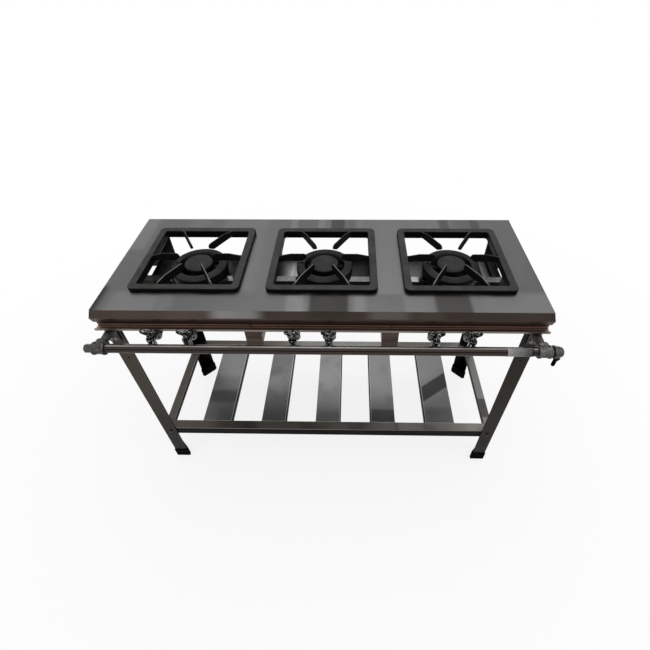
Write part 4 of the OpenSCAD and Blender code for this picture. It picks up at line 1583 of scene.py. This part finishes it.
@dataclass
class Grates(SubAssembly):
    """The three square cast grates, each with a rim, a locating skirt and six tapered fingers."""

    size: float = 300.0
    rim: float = 21.0
    rise: float = 12.0
    corner: float = 16.0
    skirt: float = 276.0
    skirt_corner: float = 6.0
    skirt_depth: float = 12.0
    inner_corner: float = 5.5
    tip: float = 50.0
    finger_top: float = TOP_HEIGHT + 20.0
    finger_low: float = TOP_HEIGHT - 3.0
    finger_base: float = 9.0
    finger_ridge: float = 3.0
    rim_round: float = 2.6
    fingers: int = 6

    def square_ring(self, name: str, outer: float, outer_corner: float, low: float,
                    height: float) -> Piece:
        """A square ring with rounded corners around the grate's opening.

        Args:
            name: The piece's name.
            outer: Outer size.
            outer_corner: Radius of the outer corners.
            low: Height of the underside.
            height: Height of the ring.

        Returns:
            The ring.
        """
        inner = self.size - 2 * self.rim
        loops = []
        for size, radius in ((outer, outer_corner), (inner, self.inner_corner)):
            clear_selection()
            bpy.ops.mesh.primitive_plane_add(size=size * MM, location=at(0, 0, low))
            loop = settle(name)
            with editing(loop):
                bpy.ops.mesh.bevel(offset=radius * MM, segments=6, affect="VERTICES")
                bpy.ops.mesh.select_all(action="SELECT")
                bpy.ops.mesh.delete(type="ONLY_FACE")
            loops.append(loop)
        ring = joined(name, loops)
        with editing(ring):
            bpy.ops.mesh.bridge_edge_loops()
            bpy.ops.mesh.select_all(action="SELECT")
            bpy.ops.mesh.extrude_region_move(TRANSFORM_OT_translate={"value": (0, 0, height * MM)})
        return mend(ring)

    def finger(self, name: str, reach: float) -> Piece:
        """A finger along +X from its tip to the rim, narrower towards its ridge.

        Args:
            name: The piece's name.
            reach: Distance of the rim's inner face from the burner's axis.

        Returns:
            The finger.
        """
        top, low, tip = self.finger_top, self.finger_low, self.tip
        side = [(tip, low + 9), (tip + 1, top - 6), (tip + 3.5, top - 2), (tip + 8, top), (reach - 34, top),
                (reach + 3, TOP_HEIGHT + self.rise), (reach + 3, TOP_HEIGHT - 6), (reach - 20, low),
                (tip + 14, low)]
        half = self.finger_base / 2
        piece = prism(name, [at(x, -half, z) for x, z in side], Vector((0, 2 * half, 0)) * MM)
        with editing(piece):
            for level in sorted({z for _, z in side}):
                choose(Part.CORNERS, lambda middle, _: abs(middle.z - level) < 0.05)
                share = (level - low) / (top - low)
                width = self.finger_base + (self.finger_ridge - self.finger_base) * max(share, 0.0)
                bpy.ops.transform.resize(value=(1, width / self.finger_base, 1),
                                         center_override=at(0, 0, level))
        return piece

    def build(self) -> None:
        """Models one grate as a casting and copies it to the three places."""
        rim = self.square_ring("grate_rim", self.size, self.corner, TOP_HEIGHT + 0.2, self.rise)
        soften(rim, self.rim_round, 3)
        skirt = self.square_ring("grate_skirt", self.skirt, self.skirt_corner, TOP_HEIGHT - self.skirt_depth,
                                 self.skirt_depth + 2)
        parts = [rim, skirt]
        inner = self.size / 2 - self.rim
        step = 360 // self.fingers
        for degrees in range(0, 360, step):
            reach = inner if degrees % 180 == 0 else inner / math.sin(math.radians(step))
            finger = self.finger(f"finger_{degrees}", reach)
            finger.data.transform(turned_about(at(0, 0, 0), degrees))
            parts.append(finger)
        grate = as_cast(joined("grate_casting", parts), 1.3, 4, 0.3)
        for side, x in SIDES.items():
            piece = duplicate(grate, f"grate_casting_{side}", shifted(x))
            self.show(piece, f"grate_{side}_casting", GRATE_IRON, f"grate_{side}")
        discard(grate)


@dataclass
class Burners(SubAssembly):
    """The double burners: cast bodies with their mixing tubes, a ring and a centre cap each."""

    ring_ports: int = 24
    cap_ports: int = 16
    port: float = 3.0
    screw_at: float = -70.0
    slot_turn: float = 35.0
    edge_round: float = 0.5
    lug_at: float = 70.0
    lug_turn: float = 47.0

    def cutters(self, count: int, near: float, far: float, low: float, high: float) -> Piece:
        """Radial bars that cut a circle of flame ports.

        Args:
            count: Number of ports.
            near: Inner end of the bars.
            far: Outer end of the bars.
            low: Height of their underside.
            high: Height of their top.

        Returns:
            The bars as one piece.
        """
        middle = at((near + far) / 2, 0, (low + high) / 2)
        bar = block("port_cutter", middle, far - near, self.port, high - low)
        turns = [turned_about(at(0, 0, 0), (number + 0.5) * 360 / count) for number in range(count)]
        bars = [duplicate(bar, f"port_cutter_{number}", turn) for number, turn in enumerate(turns)]
        discard(bar)
        return joined("port_cutters", bars)

    def ring(self) -> Piece:
        """The ring with its sloping crown, flame ports and screw recess.

        Returns:
            The ring.
        """
        ring = turned("burner_ring", at(0, 0, 0), Axis.Z, [
            (57, 735), (82, 735), (82, 745.6), (81.5, 747.6), (80, 749.6), (77.2, 751.2), (72, 752.8),
            (67, 754.2), (64, 754.9), (61.6, 754.8), (59.6, 753.9), (57.8, 752.2), (57, 750.2)],
            steps=72, closed=True)
        cut(ring, self.cutters(self.ring_ports, 75, 84, 733, 739))
        cut(ring, self.cutters(self.ring_ports // 2, 55, 62, 733, 739))
        cut(ring, turned("recess", at(self.screw_at, 0, 0), Axis.Z, [(0, 750), (8.2, 750), (9, 751), (9, 760),
                                                                      (0, 760)], steps=32))
        soften(ring, self.edge_round)
        return smooth(ring, 50.0)

    def cap(self) -> Piece:
        """The centre cap with its low dome, spigot and flame ports.

        Returns:
            The cap.
        """
        cap = turned("burner_cap", at(0, 0, 0), Axis.Z, [
            (0, 755.5), (32.8, 754.5), (32.8, 744), (35.8, 744), (35.8, 748), (42, 748), (42, 753.2),
            (41.4, 755.2), (39.6, 757.2), (36.5, 758.9), (32, 760.1), (26, 760.8), (18, 761), (0, 761)],
            steps=64)
        cut(cap, self.cutters(self.cap_ports, 31, 44, 742, 751))
        soften(cap, self.edge_round)
        return smooth(cap, 50.0)

    def screw(self) -> Piece:
        """The round-headed screw in the ring's recess.

        Returns:
            The screw.
        """
        screw = turned("ring_screw", at(self.screw_at, 0, 0), Axis.Z, [
            (0, 741), (2.9, 741), (2.9, 750.1), (5.5, 750.1), (5.4, 751.2), (4.6, 752.3), (3, 752.9),
            (0, 753)], steps=28)
        slot = block("screw_slot", at(self.screw_at, 0, 753), 12, 1.2, 2.4)
        slot.data.transform(turned_about(at(self.screw_at, 0, 0), self.slot_turn))
        return smooth(cut(screw, slot), 40.0)

    def lug_bolt(self) -> Piece:
        """A bolt up through the support into a lug of the body.

        Returns:
            The bolt.
        """
        head = hexagon("lug_bolt", at(0, 0, 703), 5.7, 4, 0.6)
        shank = turned("lug_shank", at(0, 0, 0), Axis.Z, [(0, 705), (2.9, 705), (2.9, 719), (0, 719)], 16)
        return smooth(joined("lug_bolt", [head, shank]), 35.0)

    def build(self) -> None:
        """Models one burner and copies it to the three places."""
        body = as_cast(mend(duplicate(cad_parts["burner_body_middle"], "burner_body")), 1.5, 3, 0.3)
        ring, cap, screw, bolt = self.ring(), self.cap(), self.screw(), self.lug_bolt()
        turn = math.radians(self.lug_turn)
        lug = Vector((self.lug_at * math.cos(turn), self.lug_at * math.sin(turn), 0))
        fasteners = []
        for side, x in SIDES.items():
            place = shifted(x)
            self.show(duplicate(body, f"burner_casting_{side}", place), "stand", BURNER_IRON,
                      f"burner_body_{side}")
            self.show(duplicate(ring, f"burner_ring_casting_{side}", place), "stand", BURNER_IRON,
                      f"burner_ring_{side}")
            self.show(duplicate(cap, f"burner_cap_casting_{side}", place), f"burner_cap_{side}_casting",
                      BURNER_IRON, f"burner_cap_{side}")
            fasteners.append(duplicate(screw, f"ring_screw_{side}", place))
            for way in (-1, 1):
                fasteners.append(duplicate(bolt, f"lug_bolt_{side}_{way + 2}",
                                           shifted(x + way * lug.x, lug.y)))
        self.show(joined("burner_screws", fasteners), "stand", DULL_BOLT_ZINC, "burner_bolts")
        discard(body, ring, cap, screw, bolt)


@dataclass
class GasLine(SubAssembly):
    """The front pipe with its tees, plug, blank label and inlet."""

    tee_x: float = 569.0
    elbow_x: float = 599.0
    nozzle_x: float = 607.5
    label: Span = (474.0, 538.0)

    def tee(self) -> Piece:
        """The right tee as a casting with thick rounded collars.

        Returns:
            The tee.
        """
        centre = at(self.tee_x, PIPE_Y, PIPE_Z)
        run = [(0, -17), (16, -17), (17.5, -15.6), (17.5, -10.4), (16.4, -9), (15.5, -7.4), (15.5, 7.4),
               (16.4, 9), (17.5, 10.4), (17.5, 15.6), (16, 17), (0, 17)]
        branch = [(0, 0), (15.5, 0), (15.5, 11.6), (16.4, 13.2), (17.5, 14.4), (17.5, 19.6), (16, 21),
                  (0, 21)]
        parts = [turned("tee_run", centre, Axis.X, run, 40), turned("tee_branch", centre, Axis.Y, branch, 40)]
        return as_cast(joined("tee", parts), 0.9, 4, 0.35)

    def elbow(self) -> Piece:
        """The inlet's elbow with its boss pointing down.

        Returns:
            The elbow.
        """
        run = [(0, 0), (13.6, 0), (15, 1.2), (15, 6.5), (13.9, 8.2), (13.6, 11), (12.2, 14.4), (9, 16.6),
               (0, 17)]
        boss = [(0, -19), (7.4, -19), (8.2, -18.2), (8.2, -13), (8.6, -10), (8.6, 0), (0, 0)]
        parts = [turned("elbow_run", at(self.elbow_x, PIPE_Y, PIPE_Z), Axis.X, run, 40),
                 turned("elbow_boss", at(self.nozzle_x, PIPE_Y, PIPE_Z), Axis.Z, boss, 32)]
        return as_cast(joined("inlet_elbow_casting", parts), 0.8, 3, 0.4)

    def nozzle(self) -> Piece:
        """The ribbed hose nozzle under its nut.

        Returns:
            The nozzle.
        """
        centre = at(self.nozzle_x, PIPE_Y, 0)
        profile = [(3.2, 652), (3.2, 638), (4.1, 638)]
        for rib in range(4):
            low = 638.4 + rib * 5.2
            profile += [(5.2, low + 3.6), (5.2, low + 4.2), (4.3, low + 4.6), (4.3, low + 5.2)]
        profile += [(4.6, 661), (4.6, 666), (0, 666), (0, 652)]
        tail = turned("nozzle_tail", centre, Axis.Z, profile, 32)
        nut = hexagon("nozzle_nut", at(self.nozzle_x, PIPE_Y, 664), 9.2, 7, 0.9)
        return smooth(joined("ribbed_nozzle", [tail, nut]), 35.0)

    def blank_label(self) -> Piece:
        """The bare plate that is bent around the pipe near its right end.

        Returns:
            The plate.
        """
        left, right = self.label
        profile = [(12.05, left), (12.65, left), (12.65, right), (12.05, right)]
        plate = turned("blank_label", at(0, PIPE_Y, PIPE_Z), Axis.X, profile, 28, sweep=150, start=145,
                       closed=True)
        with editing(plate):
            choose(Part.EDGES, lambda middle, direction: middle.x > right - 0.1 and abs(direction.x) < 0.1
                   and self.is_label_end(middle))
            bpy.ops.mesh.bevel(offset=4 * MM, segments=4, affect="EDGES")
        return smooth(plate, 35.0)

    def is_label_end(self, middle: Vector) -> bool:
        """Whether an edge is one of the two short ones across the plate's thickness."""
        radius = math.hypot(middle.y - PIPE_Y, middle.z - PIPE_Z)
        return 12.1 < radius < 12.6

    def build(self) -> None:
        """Builds the fittings and dresses the pipes."""
        self.keep("manifold_pipe", PIPE_STEEL)
        for side in ("left", "right"):
            self.keep(f"side_pipe_{side}", FITTING_ZINC, 0.6)
        self.keep("inlet_nipple", FITTING_ZINC, 0.8)
        self.keep("end_plug", DARK_FITTING, 0.9)
        tee = self.tee()
        self.show(duplicate(tee, "tee_casting_right"), "stand", PALE_FITTING, "tee_right")
        left = mend(duplicate(tee, "tee_casting_left", Matrix.Translation((2 * TOP_MIDDLE.x, 0, 0))
                              @ Matrix.Scale(-1, 4, Vector((1, 0, 0)))))
        self.show(left, "stand", FITTING_ZINC, "tee_left")
        discard(tee)
        self.show(self.elbow(), "stand", FITTING_ZINC, "inlet_elbow")
        self.show(self.nozzle(), "stand", BLACK_PLASTIC, "hose_nozzle")
        self.show(self.blank_label(), "stand", LABEL_FILM)


@dataclass
class Taps(SubAssembly):
    """The six butterfly taps with their jets and air shutters."""

    wing_half: float = 2.5
    wing_round: float = 1.5

    def body(self) -> Piece:
        """A tap's body with its lower nut and outlet.

        Returns:
            The tap's body.
        """
        x = TAP_X[0]
        barrel = turned("tap_barrel", at(x, TAP_Y, 0), Axis.Z, [
            (0, 676.4), (9.4, 676.4), (11, 677.8), (11, 683), (10.2, 684.2), (10.2, 696.4), (11, 697.6),
            (11, 702.6), (9.6, 704.8), (5.6, 705.4), (0, 705.4)], 36)
        nut = hexagon("tap_nut", at(x, TAP_Y, 672), 8, 5, 0.7)
        outlet = turned("tap_outlet", at(x, TAP_Y, PIPE_Z), Axis.Y, [
            (0, 4), (7, 4), (7, 12.6), (6.2, 13.2), (6.2, 14.2), (7, 14.8), (7, 16.6), (6.6, 17),
            (0, 17)], 28)
        inlet = turned("tap_inlet", at(x, TAP_Y, PIPE_Z), Axis.Y, [(0, -14), (5, -14), (5, -4), (0, -4)], 24)
        return smooth(joined("tap_body", [barrel, nut, outlet, inlet]), 35.0)

    def handle(self) -> Piece:
        """A butterfly handle on its hub and stem.

        Returns:
            The handle.
        """
        x = TAP_X[0]
        half = [(0, 729.4), (3.0, 730.8), (5.8, 733.4), (9.2, 735.4), (12.6, 736), (16.4, 734.6),
                (19.2, 731.4), (20, 727.8), (18.9, 724), (15.8, 721.2), (11.6, 718.8), (7.6, 715.6)]
        outline = half + [(-a, b) for a, b in reversed(half[1:])]
        wing = prism("tap_wing", [at(x + a, TAP_Y - self.wing_half, b) for a, b in outline],
                     Vector((0, 2 * self.wing_half, 0)) * MM)
        soften(wing, self.wing_round, 3)
        hub = turned("tap_hub", at(x, TAP_Y, 0), Axis.Z, [
            (0, 680), (3.9, 680), (3.9, 706), (6.4, 706), (7, 706.6), (7, 711), (6.2, 714.4), (4.6, 718),
            (3, 721), (0, 722)], 28)
        return smooth(joined("tap_handle", [wing, hub]), 40.0)

    def build(self) -> None:
        """Models one tap and copies it to the six places."""
        body, handle = self.body(), self.handle()
        for number, x in enumerate(TAP_X, start=1):
            place = shifted(x - TAP_X[0])
            self.show(duplicate(body, f"tap_{number}_body", place), "stand", TAP_CHROME, f"tap_body_{number}")
            self.show(duplicate(handle, f"tap_{number}_butterfly", place), f"tap_{number}", TAP_CHROME,
                      f"tap_handle_{number}")
        discard(body, handle)
        self.keep("gas_jets", JET_BRASS, 0.3)
        self.keep("air_shutters", SHUTTER_ZINC)


@dataclass
class Fasteners(SubAssembly):
    """The hexagon bolts of the frame and of the shelf."""

    head_r: float = 5.7
    head_h: float = 4.0
    nut_h: float = 5.0
    shank_r: float = 3.0
    stub: float = 2.0
    rail_x: Span = (562.0, 586.0)
    rail_y: Span = (216.0, 192.0)
    rail_z: float = 750.0
    cross_at: Span = (185.0, 723.0)
    palm_at: Triple = (569.2, -217.0, 660.0)
    palm_step: float = 5.9
    shelf_at: Triple = (562.0, 214.0, 173.0)

    def bolt(self, grip: float) -> Piece:
        """A bolt and nut along Z at the origin, its head above zero.

        Args:
            grip: Thickness that it holds together.

        Returns:
            The bolt.
        """
        origin = Vector((0, 0, 0))
        low = -grip - self.nut_h - self.stub
        flange = turned("bolt_flange", origin, Axis.Z, [
            (0, 0.02), (self.head_r + 0.9, 0.02), (self.head_r + 0.9, 0.4), (self.head_r - 0.6, 1.1),
            (0, 1.1)], 28)
        head = hexagon("bolt_head", Vector((0, 0, 0.6 * MM)), self.head_r, self.head_h - 0.6, 0.6)
        nut = hexagon("bolt_nut", Vector((0, 0, (-grip - self.nut_h) * MM)), self.head_r, self.nut_h, 0.6)
        profile: list[Span] = [(0, low), (self.shank_r - 0.6, low)]
        for turn in range(3):
            start = low + 0.3 + turn * 0.8
            profile += [(self.shank_r, start + 0.2), (self.shank_r - 0.4, start + 0.6)]
        profile += [(self.shank_r, low + 2.9), (self.shank_r, 0.5), (0, 0.5)]
        shank = turned("bolt_shank", origin, Axis.Z, profile, 20)
        return smooth(joined("bolt", [head, flange, nut, shank]), 35.0)

    @staticmethod
    def placed(bolt: Piece, point: Vector, outward: Vector) -> Piece:
        """A copy of a bolt with its head at a point, looking outward."""
        turn = Axis.Z.along.rotation_difference(outward).to_matrix().to_4x4()
        return duplicate(bolt, "bolt", Matrix.Translation(point) @ turn)

    def build(self) -> None:
        """Places the bolts of the frame and of the shelf."""
        rails, cross, palm, shelf = (self.bolt(grip) for grip in (5.0, 4.0, 6.0, 4.5))
        frame_set, palm_set, shelf_set = [], [], []
        near_x, far_x = self.rail_x
        far_y, near_y = self.rail_y
        cross_x, cross_z = self.cross_at
        palm_x, palm_y, palm_z = self.palm_at
        shelf_x, shelf_y, shelf_z = self.shelf_at
        for x in (-1, 1):
            for y in (-1, 1):
                along_x, along_y = Vector((x, 0, 0)), Vector((0, y, 0))
                frame_set.append(self.placed(rails, at(x * near_x, y * far_y, self.rail_z), along_y))
                frame_set.append(self.placed(rails, at(x * far_x, y * near_y, self.rail_z), along_x))
                frame_set.append(self.placed(cross, at(x * cross_x, y * far_y, cross_z), along_y))
                palm_set.append(self.placed(palm, at(x * palm_x + y * self.palm_step, palm_y, palm_z),
                                            Vector((0, -1, 0))))
                shelf_set.append(self.placed(shelf, at(x * shelf_x, y * shelf_y, shelf_z), along_y))
        self.show(joined("palm_bolt_set", palm_set), "stand", BOLT_ZINC)
        self.show(joined("frame_bolt_set", frame_set), "stand", DULL_BOLT_ZINC, "frame_bolts")
        self.show(joined("shelf_bolt_set", shelf_set), "stand", DULL_BOLT_ZINC, "shelf_bolts")
        discard(rails, cross, palm, shelf)


# ---- studio ----


@dataclass
class Studio:
    """The pale floor, the soft lights and the camera."""

    floor_size: float = 30.0
    ambient: float = 0.5
    lamps: tuple[tuple[str, Triple, Triple, Span, float], ...] = (
        ("overhead_lamp", (0.2, 0.3, 3.3), (0.0, 0.05, 0.6), (5.0, 4.0), 62.0),
        ("front_lamp", (-2.6, -3.8, 2.6), (0.0, 0.0, 0.5), (3.6, 2.6), 27.0),
        ("side_lamp", (4.0, -1.2, 2.0), (0.0, 0.0, 0.5), (2.6, 2.6), 18.0))
    shadow_share: float = 0.18
    shadow_reach: Span = (0.7, 2.0)
    eye: Triple = (72.53, -949.12, 1483.16)
    pitch: float = 0.781
    yaw: float = -0.024
    roll: float = -0.0097
    lens: float = 22.881
    sensor: float = 36.0
    shift: Span = (-0.02854, -0.00326)
    clip: Span = (0.05, 50.0)

    def build(self) -> None:
        """Sets up floor, world, lamps and camera."""
        self.floor()
        self.world()
        for lamp in self.lamps:
            self.lamp(*lamp)
        self.camera()
        bpy.context.scene.view_settings.view_transform = "Standard"
        LOG.info("studio is set up")

    @staticmethod
    def seen(board: Board) -> Socket:
        """One for rays of the camera, of gloss and of glass, and nothing for the rest.

        Args:
            board: The nodes to add to.

        Returns:
            The mask.
        """
        path = board.add("LightPath")
        either = board.math("MAXIMUM", path.outputs["Is Camera Ray"], path.outputs["Is Glossy Ray"])
        return board.math("MAXIMUM", either, path.outputs["Is Transmission Ray"])

    def floor(self) -> None:
        """A pale floor that shows white and keeps the stand's shadow."""
        clear_selection()
        bpy.ops.mesh.primitive_plane_add(size=self.floor_size, location=(0, 0, 0))
        floor = settle("studio_floor")
        material = bpy.data.materials.new("pale_floor")
        material.use_nodes = True
        material.node_tree.nodes.clear()
        board = Board(material.node_tree)
        plain = board.add("BsdfDiffuse", {"Color": grey(0.95)})
        bright = board.add("Emission", {"Color": grey(1.0), "Strength": 1.0})
        place = board.add("TexCoord").outputs["Object"]
        away = board.add("VectorMath", {0: place}, operation="LENGTH").outputs["Value"]
        kept = board.ramp(away, self.shadow_reach[0], self.shadow_reach[1], self.shadow_share, 0.0)
        share = board.math("MULTIPLY", self.seen(board), board.math("SUBTRACT", 1.0, kept))
        both = board.add("MixShader", {0: share, 1: plain.outputs[0], 2: bright.outputs[0]})
        board.add("OutputMaterial", {"Surface": both.outputs[0]})
        floor.data.materials.append(material)

    def world(self) -> None:
        """An even white surround that lights the stand softly."""
        world = bpy.data.worlds.new("studio")
        bpy.context.scene.world = world
        world.use_nodes = True
        world.node_tree.nodes.clear()
        board = Board(world.node_tree)
        level = board.ramp(self.seen(board), 0.0, 1.0, self.ambient, 1.0, soft=False)
        light = board.add("Background", {"Color": grey(1.0), "Strength": level})
        board.add("OutputWorld", {"Surface": light.outputs[0]})

    @staticmethod
    def lamp(name: str, place: Triple, target: Triple,
             size: Span, power: float) -> None:
        """Adds a soft rectangular lamp.

        Args:
            name: The lamp's name.
            place: Where it hangs, in metres.
            target: The point that it faces.
            size: Its width and height in metres.
            power: Its power in watts.
        """
        data = bpy.data.lights.new(name, "AREA")
        data.shape = "RECTANGLE"
        data.size, data.size_y = size
        data.energy = power
        lamp = bpy.data.objects.new(name, data)
        bpy.context.scene.collection.objects.link(lamp)
        lamp.location = place
        lamp.rotation_euler = (Vector(target) - Vector(place)).to_track_quat("-Z", "Y").to_euler()

    def camera(self) -> None:
        """Adds the camera, looking down at the stand from the front."""
        level = Vector((math.sin(self.yaw), math.cos(self.yaw), 0))
        right = Vector((math.cos(self.yaw), -math.sin(self.yaw), 0))
        up_axis = Vector((0, 0, 1))
        ahead = level * math.cos(self.pitch) - up_axis * math.sin(self.pitch)
        above = level * math.sin(self.pitch) + up_axis * math.cos(self.pitch)
        across = right * math.cos(self.roll) + above * math.sin(self.roll)
        upward = above * math.cos(self.roll) - right * math.sin(self.roll)
        data = bpy.data.cameras.new("camera")
        data.sensor_fit = "HORIZONTAL"
        data.sensor_width = self.sensor
        data.lens = self.lens
        data.shift_x, data.shift_y = self.shift
        data.clip_start, data.clip_end = self.clip
        camera = bpy.data.objects.new("camera", data)
        bpy.context.scene.collection.objects.link(camera)
        turn = Matrix((across, upward, -ahead)).transposed().to_4x4()
        camera.matrix_world = Matrix.Translation(Vector(self.eye) * MM) @ turn
        bpy.context.scene.camera = camera


def main() -> None:
    """Builds the stand's sub-assemblies in order, then the studio."""
    logging.basicConfig(level=logging.INFO, format="%(name)s: %(message)s")
    clear_selection()
    for group in (TopAndFrame(), Legs(), Shelf(), Grates(), Burners(), GasLine(), Taps(), Fasteners()):
        LOG.info("building %s", type(group).__name__)
        group.build()
    Studio().build()


if __name__ == "__main__":
    main()
